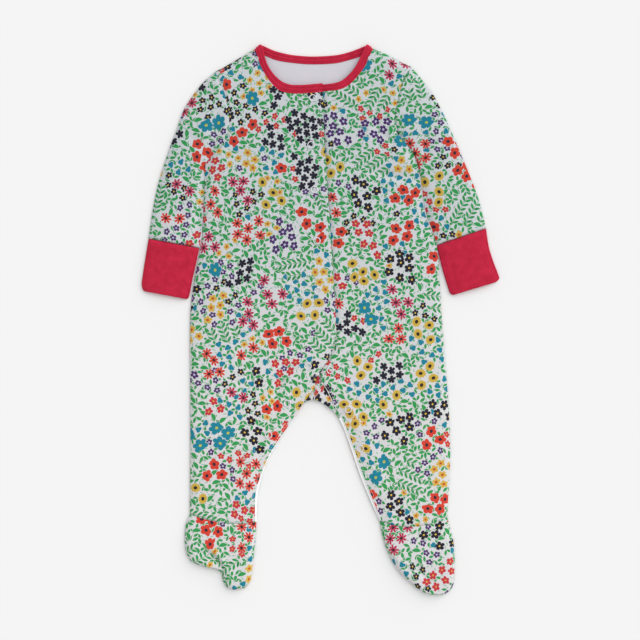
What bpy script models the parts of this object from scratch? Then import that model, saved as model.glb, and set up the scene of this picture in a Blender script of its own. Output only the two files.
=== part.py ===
"""A footed baby sleepsuit laid flat on its back: cloth walls, rib cuffs, neck binding and poppers.

Sizes are in millimetres and the meshes are in metres. +X is the wearer's left, +Y runs from the
feet to the neck and +Z points up from the table. "Right" and "left" are the wearer's.
"""

import math
from collections import namedtuple

import bmesh
import bpy
import numpy as np
from mathutils import Vector

MM = 0.001

# Cloth and layers
JERSEY = 1.2             # wall of the printed interlock
CUFF_RIB = 2.0           # wall of a cuff, which is doubled rib
BINDING = 2.0            # the rib strip folded over the neck edge
BAND = 1.4               # doubled popper band along the inner legs
SEAM_GAP = 0.3
SEWN_GAP = 0.4           # the same along a curved seam, whose facets eat some of it
ARMHOLE_GAP = 1.1        # and along an armhole, which turns most
TOP = 6.2                # upper face of the fronts above the table
FOOT_TOP = 6.9
SEAM_HEIGHT = 3.1        # where a side seam lies in its rolled edge
ROLL = 6.0               # how far a rolled edge reaches in from the outline
ROLL_ANGLES = (0.0, 35.0, 65.0, 90.0)
UNDERLAP = 20.0          # how far the left front runs on beneath the right one
UNDERLAP_START = 70.0    # the way up from the crotch in which it grows to that
CROTCH_TOP = -66.0       # where the fronts part
CROTCH_GAP = 3.0
CROTCH_FADE = 12.0       # how far above it the fronts are still apart
LAP_STEP = JERSEY + SEAM_GAP + 0.1
LAP_SLOPE = 13.0         # width in which the left front steps down to go under the lap
LAP_EASE = 1.0           # the step's low end, past the lap edge
LEG_EDGE_DROP = 1.3      # how much lower the right front is along its inner-leg edge
LEG_EDGE_WIDTH = 12.0
LEG_EDGE_TOP = -70.0
LEG_EDGE_FADE = 25.0
BAND_MIDDLE = 2.3        # height of the popper band between back and fronts
BAND_WIDTH = 20.0
BAND_EXTRA = 9.0         # more of it at the crotch
BAND_EXTRA_REACH = 30.0

# Rows and columns of the cloth grids
ARMHOLE_ROWS = 6
BODY_ROWS = 13
LEG_ROWS = 11
SHOULDER_COLUMNS = 3
NECK_COLUMNS = 9
SLEEVE_ROWS = 11
SLEEVE_COLUMNS = 6
CUFF_ROWS = 6
NECK_RINGS = 9
BAND_RINGS = 34
FOOT_ROWS = 7
TOE_ROWS = 3
FOOT_COLUMNS = 6
TOP_FADE = 110.0         # how far down the rows still follow the neckline
ARMHOLE_FADE = 70.0      # and the sleeve's rows the armhole, at the shoulder
UNDERARM_FADE = 5.0
SEAM_FADE = 40.0         # and both the dip of the ankle seam

# Outlines as (x, y), each from the neck towards the feet
ARMHOLE_R = ((-115.5, 269.0), (-107.9, 255.9), (-102.5, 241.7), (-98.6, 220.0), (-101.4, 198.1),
             (-109.0, 187.2), (-125.4, 167.6))
ARMHOLE_L = ((99.2, 275.5), (90.5, 261.3), (86.1, 245.0), (81.2, 222.0), (85.0, 203.6),
             (91.6, 193.7), (101.4, 182.8))
SIDE_R = ((-125.4, 167.6), (-126.2, 130.0), (-128.6, 86.0), (-137.3, 40.1), (-141.2, -0.3),
          (-141.2, -87.5))
SIDE_L = ((101.4, 182.8), (106.8, 168.7), (111.8, 144.0), (119.9, 108.7), (128.1, 73.8),
          (133.0, -0.3), (139.6, -87.5))
SIDE_LEG_R = ((-141.2, -87.5), (-141.2, -152.9), (-141.6, -211.5))
SIDE_LEG_L = ((139.6, -87.5), (141.7, -131.1), (141.2, -163.8), (138.4, -214.5))
LAP_TOP = ((2.9, 247.2), (3.6, 228.6), (4.6, 195.9), (6.3, 172.0))
LAP_BODY = ((6.3, 172.0), (11.8, 86.9), (15.3, 32.4), (17.4, -11.2), (15.3, -25.3),
            (10.1, -41.7), (2.9, -51.0), (0.0, -58.0), (-1.5, -66.0))
CENTRE_NECK = -7.5        # where the centre back meets the neckline
CENTRE_BODY = ((-6.0, 172.0), (-4.0, 0.0), (-6.0, -92.0))
CROTCH_R = ((-6.0, -92.0), (-14.0, -91.3), (-18.5, -92.5), (-22.6, -97.0), (-32.7, -110.7),
            (-51.2, -140.9), (-63.2, -171.4), (-68.2, -195.0), (-69.2, -220.2))
CROTCH_L = ((-6.0, -92.0), (-0.8, -93.7), (7.6, -98.4), (16.4, -103.8), (21.0, -108.5),
            (26.3, -120.2), (36.1, -147.4), (44.8, -172.5), (57.4, -202.8), (65.0, -219.0))
FRONT_LEG_R = ((-1.5, -66.0), (-7.6, -75.4), (-15.3, -86.3), (-23.6, -97.0), (-42.4, -125.6),
               (-58.8, -154.0), (-69.1, -187.8), (-69.9, -220.2))
FRONT_LEG_L = ((1.5, -66.0), (8.7, -78.8), (15.3, -93.2), (22.0, -104.1), (29.0, -120.2),
               (38.8, -147.4), (47.5, -172.5), (59.6, -202.8), (66.4, -219.0))
SHOULDER_R = ((-115.5, 269.0), (-98.1, 278.8), (-81.8, 288.6), (-72.2, 293.8))
SHOULDER_L = ((99.2, 275.5), (87.2, 280.9), (70.9, 289.7), (58.2, 294.9))

# The neck binding: its sewn edge and its free edge, right half and left half. At each shoulder
# end it folds over a line, given by the outline's points at its sewn edge and its free edge.
NECK_POINT_R = ((-71.9, 294.0), (-64.5, 299.8))
NECK_POINT_L = ((57.8, 295.1), (50.9, 299.8))
SEWN_FRONT_R = ((-70.0, 291.6), (-67.3, 285.3), (-60.4, 272.8), (-50.6, 260.2), (-39.5, 251.8),
                (-25.6, 246.8), (-11.7, 246.0), (2.9, 247.2))
FREE_FRONT_R = ((-62.6, 297.4), (-61.0, 289.4), (-57.6, 281.1), (-49.3, 268.5), (-39.5, 260.2),
                (-25.6, 255.0), (-11.7, 254.2), (2.9, 255.9))
SEWN_FRONT_L = ((56.0, 292.5), (50.9, 279.6), (41.2, 263.0), (30.0, 254.7), (16.1, 249.1),
                (2.9, 247.2), (-17.1, 246.4))
FREE_FRONT_L = ((49.2, 297.2), (43.9, 288.0), (38.4, 276.9), (28.7, 265.8), (16.1, 257.4),
                (2.9, 255.4), (-17.1, 254.2))
SEWN_BACK = ((-70.0, 291.6), (-61.0, 288.9), (-46.4, 283.1), (-25.6, 280.0), (-7.5, 278.9),
             (16.1, 280.0), (30.0, 283.1), (45.3, 287.8), (56.0, 292.5))
FREE_BACK = ((-62.6, 297.4), (-46.4, 292.2), (-25.6, 288.0), (-7.5, 286.9), (16.1, 288.0),
             (37.0, 292.9), (49.2, 297.2))

# Sleeves and cuffs: outer fold and underarm side
SLEEVE_OUT_R = ((-115.5, 269.0), (-130.6, 254.5), (-147.0, 231.0), (-155.5, 209.0),
                (-167.1, 177.1), (-176.7, 145.8), (-182.8, 114.5), (-186.6, 88.5))
SLEEVE_IN_R = ((-125.4, 167.6), (-126.2, 130.0), (-128.6, 86.0), (-130.6, 78.2))
SLEEVE_OUT_L = ((99.2, 275.5), (119.9, 250.4), (127.5, 237.3), (138.4, 215.5), (157.0, 171.9),
                (166.8, 148.0), (174.4, 125.1), (181.0, 99.7))
SLEEVE_IN_L = ((101.6, 182.6), (107.0, 168.7), (112.0, 144.0), (120.2, 108.7), (126.8, 81.5))
CUFF_OUT_R = ((-186.7, 88.0), (-191.6, 62.0), (-194.8, 42.0), (-194.4, 35.0), (-192.3, 31.3))
CUFF_IN_R = ((-131.6, 77.6), (-134.9, 65.8), (-139.3, 43.3), (-143.0, 26.0), (-145.4, 22.4))
CUFF_OUT_L = ((180.8, 99.3), (185.6, 76.0), (194.6, 48.0), (194.2, 43.8), (191.2, 40.8))
CUFF_IN_L = ((127.8, 81.0), (135.4, 52.0), (142.6, 28.0), (145.2, 25.0))

# Feet: the side away from the other leg and the side next to it, from ankle to toe. The right
# foot's outer side is in two parts that meet in the notch where the foot folds at the instep.
HEEL_OUT_R = ((-141.6, -211.8), (-145.8, -222.0), (-147.2, -238.0), (-145.8, -252.0),
              (-140.6, -262.6), (-126.5, -268.8), (-113.5, -271.6), (-107.0, -275.0))
TOE_OUT_R = ((-107.0, -275.0), (-105.7, -283.7), (-101.4, -291.3), (-94.0, -294.1))
HEEL_IN_R = ((-69.2, -220.2), (-69.8, -234.6), (-71.9, -256.4), (-73.4, -272.0))
TOE_IN_R = ((-73.4, -272.0), (-76.3, -285.9), (-82.5, -292.6))
HEEL_OUT_L = ((138.4, -214.5), (141.7, -227.0), (145.0, -240.1), (146.6, -256.4), (146.6, -275.0))
TOE_OUT_L = ((146.6, -275.0), (145.5, -287.0), (142.4, -293.8), (136.5, -298.4), (131.0, -299.6))
HEEL_IN_L = ((65.0, -219.0), (68.1, -234.6), (73.0, -251.0), (82.8, -270.6))
TOE_IN_L = ((82.8, -270.6), (92.7, -281.5), (109.0, -294.6), (119.0, -299.2))
ANKLE_BOW_R = 4.5        # how far the ankle seam dips between its ends
ANKLE_BOW_L = 8.0

# Soft folds in the upper layer, each a trough between two points
Fold = namedtuple("Fold", "x0 y0 x1 y1 width depth")
FOLDS = (
    Fold(-110.0, 186.0, -72.0, 150.0, 9.0, 0.7),
    Fold(94.0, 186.0, 66.0, 146.0, 9.0, 0.7),
    Fold(66.0, 240.0, 64.0, 168.0, 9.0, 0.5),
    Fold(-92.0, 262.0, -84.0, 214.0, 9.0, 0.5),
    Fold(-34.0, -56.0, -92.0, -30.0, 10.0, 0.7),
    Fold(34.0, -62.0, 92.0, -34.0, 10.0, 0.7),
    Fold(-118.0, -96.0, -112.0, -176.0, 10.0, 0.6),
    Fold(116.0, -104.0, 112.0, -188.0, 10.0, 0.6),
    Fold(-138.0, 214.0, -118.0, 190.0, 9.0, 0.6),
    Fold(122.0, 226.0, 104.0, 202.0, 9.0, 0.6),
    Fold(-172.0, 118.0, -146.0, 110.0, 8.0, 0.5),
    Fold(166.0, 124.0, 140.0, 112.0, 8.0, 0.5),
    Fold(-107.5, -276.0, -115.0, -248.0, 4.5, 1.6),
    Fold(102.0, -262.0, 122.0, -284.0, 6.0, 1.0),
)

# Open-ring poppers
RING_RADIUS = 3.1        # to the middle of the ring's wire
RING_WIRE = 0.55
RING_STEPS = 12
RING_SIDES = 5
POPPER_GAP = 0.35
Popper = namedtuple("Popper", "x y panel")
POPPERS = (
    Popper(-7.8, 240.8, "right"),
    Popper(-9.8, 189.9, "right"),
    Popper(-6.0, 141.4, "right"),
    Popper(-3.3, 85.8, "right"),
    Popper(-2.2, 31.3, "right"),
    Popper(-13.1, -50.4, "right"),
    Popper(11.2, -54.8, "left"),
    Popper(-35.4, -90.7, "right"),
    Popper(-55.9, -125.2, "right"),
    Popper(30.5, -97.3, "left"),
    Popper(43.6, -139.8, "left"),
)


def smooth_line(points):
    """Many points on a Catmull-Rom curve through the given ones."""
    given = np.array(points, float)
    ends = np.vstack([2 * given[0] - given[1], given, 2 * given[-1] - given[-2]])
    steps = np.linspace(0.0, 1.0, 13)[:-1, None]
    spans = []
    for a, b, c, d in zip(ends, ends[1:], ends[2:], ends[3:]):
        bend = 2 * a - 5 * b + 4 * c - d
        cubic = 3 * (b - c) + d - a
        spans.append(b + 0.5 * steps * (c - a + steps * (bend + steps * cubic)))
    return np.vstack([*spans, given[-1:]])


def distances(line):
    """How far each point of a line is from its start, along it."""
    return np.concatenate([[0.0], np.cumsum(np.linalg.norm(np.diff(line, axis=0), axis=1))])


def points_at(line, wanted):
    """Points of a line at the wanted distances from its start."""
    run = distances(line)
    return np.stack([np.interp(wanted, run, line[:, k]) for k in range(line.shape[1])], axis=1)


def stops(length, count, fine_start, fine_end):
    """Distances from 0 to length: close together round a rolled edge and even between."""
    reach = min(ROLL, 0.4 * length)
    turn = [reach * (1 - math.cos(math.radians(a))) for a in ROLL_ANGLES]
    first = turn if fine_start else [0.0]
    last = [length - d for d in reversed(turn)] if fine_end else [length]
    middle = np.linspace(first[-1], last[0], count + 1)[1:-1]
    return np.array([*first, *middle, *last])


def roll_angles(count, fine_start, fine_end):
    """For the same stops, the angle round each rolled edge in radians: 0 on it, 90 degrees inside."""
    size = count + 1 + (len(ROLL_ANGLES) - 1) * (int(fine_start) + int(fine_end))
    start = np.full(size, 90.0)
    end = np.full(size, 90.0)
    if fine_start:
        start[: len(ROLL_ANGLES)] = ROLL_ANGLES
    if fine_end:
        end[-len(ROLL_ANGLES):] = ROLL_ANGLES[::-1]
    return np.radians(start), np.radians(end)


def chain(curves, counts, fine_start=False, fine_end=False):
    """Points along curves joined end to end, each divided evenly by its own count."""
    rows = []
    for k, (curve, count) in enumerate(zip(curves, counts)):
        line = smooth_line(curve)
        at_start = fine_start and k == 0
        at_end = fine_end and k == len(curves) - 1
        points = points_at(line, stops(distances(line)[-1], count, at_start, at_end))
        rows.append(points[min(k, 1):])
    return np.vstack(rows)


def unit(vectors):
    return vectors / np.maximum(np.linalg.norm(vectors, axis=-1, keepdims=True), 1e-9)


def shifted(curve, by):
    """A curve moved sideways, to the right of its own direction, and made smooth."""
    line = smooth_line(curve)
    heading = unit(np.gradient(line, axis=0))
    return line + by * np.stack([heading[:, 1], -heading[:, 0]], axis=1)


def ease(t):
    t = np.clip(t, 0.0, 1.0)
    return t * t * (3 - 2 * t)


def bowed(edge, bow):
    """A straight seam line between the ends of a grid's edge, dipping in the middle."""
    share = (distances(edge) / distances(edge)[-1])[:, None]
    line = edge[0] + (edge[-1] - edge[0]) * share
    line[:, 1] -= bow * 4 * share[:, 0] * (1 - share[:, 0])
    return line


def plan(left, right, columns, fine_left, fine_right, top=None, top_fade=1.0, bow=0.0):
    """Grid of (x, y): rows between two sides, bent to a top line and to the dip of the last seam."""
    grid = []
    for a, b in zip(left, right):
        length = np.linalg.norm(b - a)
        share = stops(length, columns, fine_left, fine_right)[:, None] / length
        grid.append(a + (b - a) * share)
    grid = np.array(grid)
    run = (distances(left) + distances(right)) / 2
    if top is not None:
        left_over = 1 - ease(run[:, None] / np.full(len(top), top_fade))
        grid = grid + (top - grid[0]) * left_over[:, :, None]
    dip = bowed(grid[-1], bow) - grid[-1]
    return grid + dip * (1 - ease((run[-1] - run) / SEAM_FADE))[:, None, None]


def fold_depth(x, y):
    """How far the soft folds lower the upper layer at a point."""
    total = 0.0
    for fold in FOLDS:
        along = np.array([fold.x1 - fold.x0, fold.y1 - fold.y0])
        away = np.array([x - fold.x0, y - fold.y0])
        share = min(max(away @ along / (along @ along), 0.0), 1.0)
        gap = np.linalg.norm(away - share * along)
        taper = 0.35 + 0.65 * math.sin(math.pi * share)
        total += fold.depth * taper * math.exp(-((gap / fold.width) ** 2))
    return total


EDGE_R = np.vstack([smooth_line(LAP_TOP), smooth_line(LAP_BODY), smooth_line(FRONT_LEG_R)])[::-1]
EDGE_L = np.vstack([smooth_line(LAP_TOP), smooth_line(LAP_BODY), smooth_line(FRONT_LEG_L)])[::-1]


def right_height(x, y):
    """Upper face of the right front, which thins towards its inner-leg edge."""
    inside = np.interp(y, EDGE_R[:, 1], EDGE_R[:, 0]) - x
    edge = (1 - ease(inside / LEG_EDGE_WIDTH)) * ease((LEG_EDGE_TOP - y) / LEG_EDGE_FADE)
    return TOP - fold_depth(x, y) - LEG_EDGE_DROP * edge


def left_height(x, y):
    """Upper face of the left front, which steps down under the right one and on the inner leg."""
    inside = x - np.interp(y, EDGE_L[:, 1], EDGE_L[:, 0])
    return TOP - fold_depth(x, y) - LAP_STEP * (1 - ease((inside - LAP_EASE) / LAP_SLOPE))


def sleeve_height(x, y):
    return TOP - fold_depth(x, y)


def cuff_height(x, y):
    return TOP


def foot_height(x, y):
    """The instep rises from the ankle seam to the puffed toes."""
    return TOP - fold_depth(x, y) + (FOOT_TOP - TOP) * ease((-225.0 - y) / 30.0)


Rolls = namedtuple("Rolls", "left right top bottom")     # angles along rows or columns
Amounts = namedtuple("Amounts", "left right top bottom")  # how much of each roll applies


def raised(grid, angles, amounts, wall, seam, height=None):
    """Outer points of a sheet and the way to its other face.

    A height function makes an upper sheet that rolls down to its seam, and None makes a lower
    sheet that lies on the table and rolls up to it.
    """
    rows, columns = grid.shape[:2]
    outer = np.zeros((rows, columns, 3))
    depth = np.zeros((rows, columns, 3))
    for i in range(rows):
        for j in range(columns):
            here = grid[i, j]
            lift = 1.0
            inward = np.zeros(2)
            for angle, amount, toward in (
                (angles.left[j], amounts.left[i], grid[i, min(j + 3, columns - 1)] - here),
                (angles.right[j], amounts.right[i], grid[i, max(j - 3, 0)] - here),
                (angles.top[i], amounts.top[j], grid[min(i + 3, rows - 1), j] - here),
                (angles.bottom[i], amounts.bottom[j], grid[max(i - 3, 0), j] - here),
            ):
                lift *= 1 - amount * (1 - math.sin(angle))
                inward += amount * math.cos(angle) * unit(toward)
            if np.linalg.norm(inward) > 1:
                inward = unit(inward)
            if height is None:
                outer[i, j] = (*here, seam * (1 - lift))
                depth[i, j] = (*(inward * wall), wall * lift)
            else:
                outer[i, j] = (*here, seam + (height(*here) - seam) * lift)
                depth[i, j] = (*(inward * wall), -wall * lift)
    return outer, depth


def add_sheet(mesh, outer, depth):
    """Adds a grid to a mesh, with the way to the cloth's other face kept on each vertex."""
    rows, columns = outer.shape[:2]
    layer = mesh.verts.layers.float_vector.get("depth") or mesh.verts.layers.float_vector.new("depth")
    made = bmesh.ops.create_grid(mesh, x_segments=columns - 1, y_segments=rows - 1, size=1.0)
    for vertex in made["verts"]:
        j = round((vertex.co.x + 1) / 2 * (columns - 1))
        i = round((1 - vertex.co.y) / 2 * (rows - 1))
        vertex.co = Vector(outer[i, j]) * MM
        vertex[layer] = Vector(depth[i, j]) * MM


def make_wall(mesh):
    """Joins a mesh's sheets and gives them thickness, each point by its own depth."""
    bmesh.ops.remove_doubles(mesh, verts=mesh.verts, dist=0.00001)
    layer = mesh.verts.layers.float_vector["depth"]
    made = bmesh.ops.extrude_face_region(mesh, geom=mesh.faces[:], use_keep_orig=True)
    for vertex in [item for item in made["geom"] if isinstance(item, bmesh.types.BMVert)]:
        vertex.co += vertex[layer]


def finish(mesh, name, material):
    """Makes the named object, with its faces pointing out."""
    bmesh.ops.recalc_face_normals(mesh, faces=mesh.faces)
    data = bpy.data.meshes.new(name)
    mesh.to_mesh(data)
    mesh.free()
    data.shade_smooth()
    data.set_sharp_from_angle(angle=math.radians(40))
    data.materials.append(material)
    thing = bpy.data.objects.new(name, data)
    bpy.context.scene.collection.objects.link(thing)
    return thing


def colour(name, red, green, blue, roughness, metallic=0.0):
    material = bpy.data.materials.new(name)
    material.use_nodes = True
    shader = material.node_tree.nodes["Principled BSDF"]
    shader.inputs["Base Color"].default_value = (red, green, blue, 1.0)
    shader.inputs["Roughness"].default_value = roughness
    shader.inputs["Metallic"].default_value = metallic
    return material


def body_rows(top, side, leg):
    return chain((top, side, leg), (ARMHOLE_ROWS, BODY_ROWS, LEG_ROWS), fine_start=True)


def body_panel(mesh, left, right, top, side_is_left, bow, seam, height=None):
    """One side of the body, from shoulder and neckline to ankle seam, rolled at shoulder and side."""
    columns = SHOULDER_COLUMNS + NECK_COLUMNS
    fine = len(ROLL_ANGLES) - 1
    grid = plan(left, right, columns, side_is_left, not side_is_left, top, TOP_FADE, bow)
    rows, width = grid.shape[:2]
    on_shoulder = (np.arange(width) <= SHOULDER_COLUMNS + fine).astype(float)
    below_armhole = (np.arange(rows) >= ARMHOLE_ROWS + fine).astype(float)
    plain = np.zeros(rows)
    left_turn, right_turn = roll_angles(columns, side_is_left, not side_is_left)
    top_turn, bottom_turn = roll_angles(ARMHOLE_ROWS + BODY_ROWS + LEG_ROWS, True, False)
    angles = Rolls(left_turn, right_turn, top_turn, bottom_turn)
    amounts = Amounts(
        below_armhole if side_is_left else plain,
        plain if side_is_left else below_armhole,
        on_shoulder if side_is_left else on_shoulder[::-1],
        np.zeros(width),
    )
    add_sheet(mesh, *raised(grid, angles, amounts, JERSEY, seam, height))


def neck_top(shoulder, neck):
    """The top line of a panel: shoulder from its armhole end, the neck point, then neckline."""
    curves = (shoulder, (shoulder[-1], neck[0]), neck)
    return chain(curves, (SHOULDER_COLUMNS, 1, NECK_COLUMNS - 1), fine_start=True)


def under(curve):
    """The left front's edge hidden beneath the lap edge, meeting it at the crotch."""
    line = smooth_line(curve)
    above_crotch = line[:, 1] - CROTCH_TOP
    line[:, 0] += CROTCH_GAP * (1 - ease(above_crotch / CROTCH_FADE))
    line[:, 0] -= UNDERLAP * ease(above_crotch / UNDERLAP_START)
    return line


def make_fronts(material):
    seam = SEAM_HEIGHT + SEAM_GAP / 2
    mesh = bmesh.new()
    side = body_rows(ARMHOLE_R, SIDE_R, SIDE_LEG_R)
    lap = body_rows(LAP_TOP, LAP_BODY, FRONT_LEG_R)
    top = neck_top(SHOULDER_R, shifted(SEWN_FRONT_R, SEWN_GAP))
    body_panel(mesh, side, lap, top, True, ANKLE_BOW_R, seam, right_height)
    make_wall(mesh)
    finish(mesh, "front_panel_right", material)

    mesh = bmesh.new()
    side = body_rows(ARMHOLE_L, SIDE_L, SIDE_LEG_L)
    lap = body_rows(under(LAP_TOP), under(LAP_BODY), FRONT_LEG_L)
    top = neck_top(SHOULDER_L, shifted(SEWN_FRONT_L, -SEWN_GAP))[::-1]
    body_panel(mesh, lap, side, top, False, ANKLE_BOW_L, seam, left_height)
    make_wall(mesh)
    finish(mesh, "front_panel_left", material)


def make_back(material):
    """Both halves share their centre points, and part at the crotch into the two leg backs."""
    seam = SEAM_HEIGHT - SEAM_GAP / 2
    neck = shifted(SEWN_BACK, SEWN_GAP)
    centre = int(np.argmin(abs(neck[:, 0] - CENTRE_NECK)))
    centre_top = (neck[centre], CENTRE_BODY[0])
    mesh = bmesh.new()
    side = body_rows(ARMHOLE_R, SIDE_R, SIDE_LEG_R)
    middle = body_rows(centre_top, CENTRE_BODY, CROTCH_R)
    top = neck_top(SHOULDER_R, neck[: centre + 1])
    body_panel(mesh, side, middle, top, True, ANKLE_BOW_R, seam)
    side = body_rows(ARMHOLE_L, SIDE_L, SIDE_LEG_L)
    middle = body_rows(centre_top, CENTRE_BODY, CROTCH_L)
    top = neck_top(SHOULDER_L, neck[: centre - 1 : -1])[::-1]
    body_panel(mesh, middle, side, top, False, ANKLE_BOW_L, seam)
    make_wall(mesh)
    finish(mesh, "back_panel", material)


def tube(name, out, inner, rows, top, top_fade, wall, height, material):
    """A flattened tube of cloth, open at both ends, from its two long sides."""
    left = chain((out,), (rows,))
    right = chain((inner,), (rows,))
    grid = plan(left, right, SLEEVE_COLUMNS, True, True, top, top_fade)
    angles = Rolls(*roll_angles(SLEEVE_COLUMNS, True, True), *roll_angles(rows, False, False))
    ones = np.ones(grid.shape[0])
    nothing = np.zeros(grid.shape[1])
    amounts = Amounts(ones, ones, nothing, nothing)
    mesh = bmesh.new()
    add_sheet(mesh, *raised(grid, angles, amounts, wall, SEAM_HEIGHT, height))
    add_sheet(mesh, *raised(grid, angles, amounts, wall, SEAM_HEIGHT))
    make_wall(mesh)
    finish(mesh, name, material)


def make_sleeves(jersey, rib):
    for side, sign, armhole, out, inner, cuff_out, cuff_in in (
        ("right", 1, ARMHOLE_R, SLEEVE_OUT_R, SLEEVE_IN_R, CUFF_OUT_R, CUFF_IN_R),
        ("left", -1, ARMHOLE_L, SLEEVE_OUT_L, SLEEVE_IN_L, CUFF_OUT_L, CUFF_IN_L),
    ):
        top = chain((shifted(armhole, sign * ARMHOLE_GAP),), (SLEEVE_COLUMNS,), True, True)
        inner = shifted(inner, sign * ARMHOLE_GAP)
        share = distances(top) / distances(top)[-1]
        fade = UNDERARM_FADE + (ARMHOLE_FADE - UNDERARM_FADE) * (1 - share) ** 2
        tube(f"sleeve_{side}", out, inner, SLEEVE_ROWS, top, fade, JERSEY, sleeve_height, jersey)
        tube(f"cuff_{side}", cuff_out, cuff_in, CUFF_ROWS, None, 1.0, CUFF_RIB, cuff_height, rib)


# Cross-section of a strip: share of its width from the sewn side, share of its thickness
STRIP_SECTION = ((0.0, 0.25), (0.1, 0.5), (0.9, 0.5), (1.0, 0.25),
                 (1.0, -0.25), (0.9, -0.5), (0.1, -0.5), (0.0, -0.25))


def ring(sewn, free, middle, angle, toward, thick):
    """Points round a strip between its sewn side and its free side; angle tilts its upper face."""
    across = (free - sewn) / np.linalg.norm(free - sewn)
    width = np.linalg.norm(free - sewn)
    look = np.array([*(toward * math.cos(angle)), math.sin(angle)])
    return [
        np.array([*(sewn + across * width * share), middle]) + look * thick * half
        for share, half in STRIP_SECTION
    ]


def strip(name, rings, material):
    """A solid strip of cloth through its rings, closed at both ends."""
    mesh = bmesh.new()
    loops = np.array([[*loop, loop[0]] for loop in rings])
    add_sheet(mesh, loops, np.zeros(loops.shape))
    bmesh.ops.remove_doubles(mesh, verts=mesh.verts, dist=0.00001)
    bmesh.ops.holes_fill(mesh, edges=mesh.edges[:], sides=len(rings[0]))
    finish(mesh, name, material)


def front_rings(sewn, free, count, drop):
    """Rings of the binding along one half of the front neckline, from the shoulder to the lap."""
    sewn = smooth_line(sewn)
    free = smooth_line(free)
    shares = np.linspace(0.0, 1.0, count + 1)[1:]
    outside = points_at(sewn, shares * distances(sewn)[-1])
    inside = points_at(free, shares * distances(free)[-1])
    flat = np.zeros(2)
    return [
        ring(a, b, TOP - BINDING / 2 - drop(*a), math.pi / 2, flat, BINDING)
        for a, b in zip(outside, inside)
    ]


def fold_rings(sewn, free, away):
    """Rings of the binding where it folds over the shoulder end, from the upper layer down."""
    along = unit(free - sewn)
    out = away * np.array([-along[1], along[0]])
    radius = (TOP - BINDING) / 2
    inset = TOP / 2
    rings = []
    for angle in np.radians((90.0, 45.0, 0.0, -45.0, -90.0)):
        shift = out * (radius * math.cos(angle) - inset)
        middle = TOP / 2 + radius * math.sin(angle)
        rings.append(ring(sewn + shift, free + shift, middle, angle, out, BINDING))
    return rings


def back_rings(count):
    """Rings of the binding along the back neckline, which lie on the table wrong way up."""
    sewn = smooth_line(SEWN_BACK)
    free = smooth_line(FREE_BACK)
    shares = np.linspace(0.0, 1.0, count + 1)[1:-1]
    outside = points_at(sewn, shares * distances(sewn)[-1])
    inside = points_at(free, shares * distances(free)[-1])
    flat = np.zeros(2)
    return [
        ring(a, b, BINDING / 2, -math.pi / 2, flat, BINDING) for a, b in zip(outside, inside)
    ]


def make_binding(material):
    """One strip from the lap end, over the right shoulder, round the back and back to the lap."""

    def none(x, y):
        return 0.0

    def under_lap(x, y):
        edge = np.interp(y, EDGE_R[:, 1], EDGE_R[:, 0])
        return (BINDING + SEAM_GAP + 0.1) * (1 - ease((x - edge - LAP_EASE) / LAP_SLOPE))

    rings = front_rings(SEWN_FRONT_R, FREE_FRONT_R, NECK_RINGS, none)[::-1]
    rings += fold_rings(*np.array(NECK_POINT_R), 1)
    rings += back_rings(NECK_RINGS + 2)
    rings += fold_rings(*np.array(NECK_POINT_L), -1)[::-1]
    rings += front_rings(SEWN_FRONT_L, FREE_FRONT_L, NECK_RINGS + 2, under_lap)
    strip("neck_binding", rings, material)


def make_band(material):
    """The popper band: one strip along the inner-leg outline, round the crotch."""
    outline = np.vstack([smooth_line(CROTCH_R)[::-1], smooth_line(CROTCH_L)[1:]])
    run = distances(outline)
    outline = points_at(outline, np.linspace(0.0, run[-1], BAND_RINGS))
    heading = unit(np.gradient(outline, axis=0))
    inward = np.stack([-heading[:, 1], heading[:, 0]], axis=1)
    middle = np.array(CROTCH_R[0])
    flat = np.zeros(2)
    rings = []
    for point, way in zip(outline, inward):
        near = math.exp(-((np.linalg.norm(point - middle) / BAND_EXTRA_REACH) ** 2))
        hidden = point + way * (BAND_WIDTH + BAND_EXTRA * near)
        rings.append(ring(hidden, point, BAND_MIDDLE, math.pi / 2, flat, BAND))
    strip("leg_band", rings, material)


def make_feet(material):
    """Each foot is an upper and a sole with one outline, sewn together round the edge."""
    counts = (FOOT_ROWS, TOE_ROWS)
    for side, heel_out, toe_out, heel_in, toe_in, bow in (
        ("right", HEEL_OUT_R, TOE_OUT_R, HEEL_IN_R, TOE_IN_R, ANKLE_BOW_R),
        ("left", HEEL_OUT_L, TOE_OUT_L, HEEL_IN_L, TOE_IN_L, ANKLE_BOW_L),
    ):
        out = chain((heel_out, toe_out), counts, fine_end=True)
        inner = chain((heel_in, toe_in), counts, fine_end=True)
        top = bowed(plan(out[:2], inner[:2], FOOT_COLUMNS, True, True)[0], bow)
        top[:, 1] -= 2 * SEWN_GAP
        grid = plan(out, inner, FOOT_COLUMNS, True, True, top, SEAM_FADE)
        angles = Rolls(*roll_angles(FOOT_COLUMNS, True, True), *roll_angles(sum(counts), False, True))
        sides = np.ones(grid.shape[0])
        across = np.ones(grid.shape[1])
        amounts = Amounts(sides, sides, 0 * across, across)
        for layer, seam, height in (
            ("upper", SEAM_HEIGHT + SEAM_GAP / 2, foot_height),
            ("sole", SEAM_HEIGHT - SEAM_GAP / 2, None),
        ):
            mesh = bmesh.new()
            add_sheet(mesh, *raised(grid, angles, amounts, JERSEY, seam, height))
            make_wall(mesh)
            finish(mesh, f"foot_{layer}_{side}", material)


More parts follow.
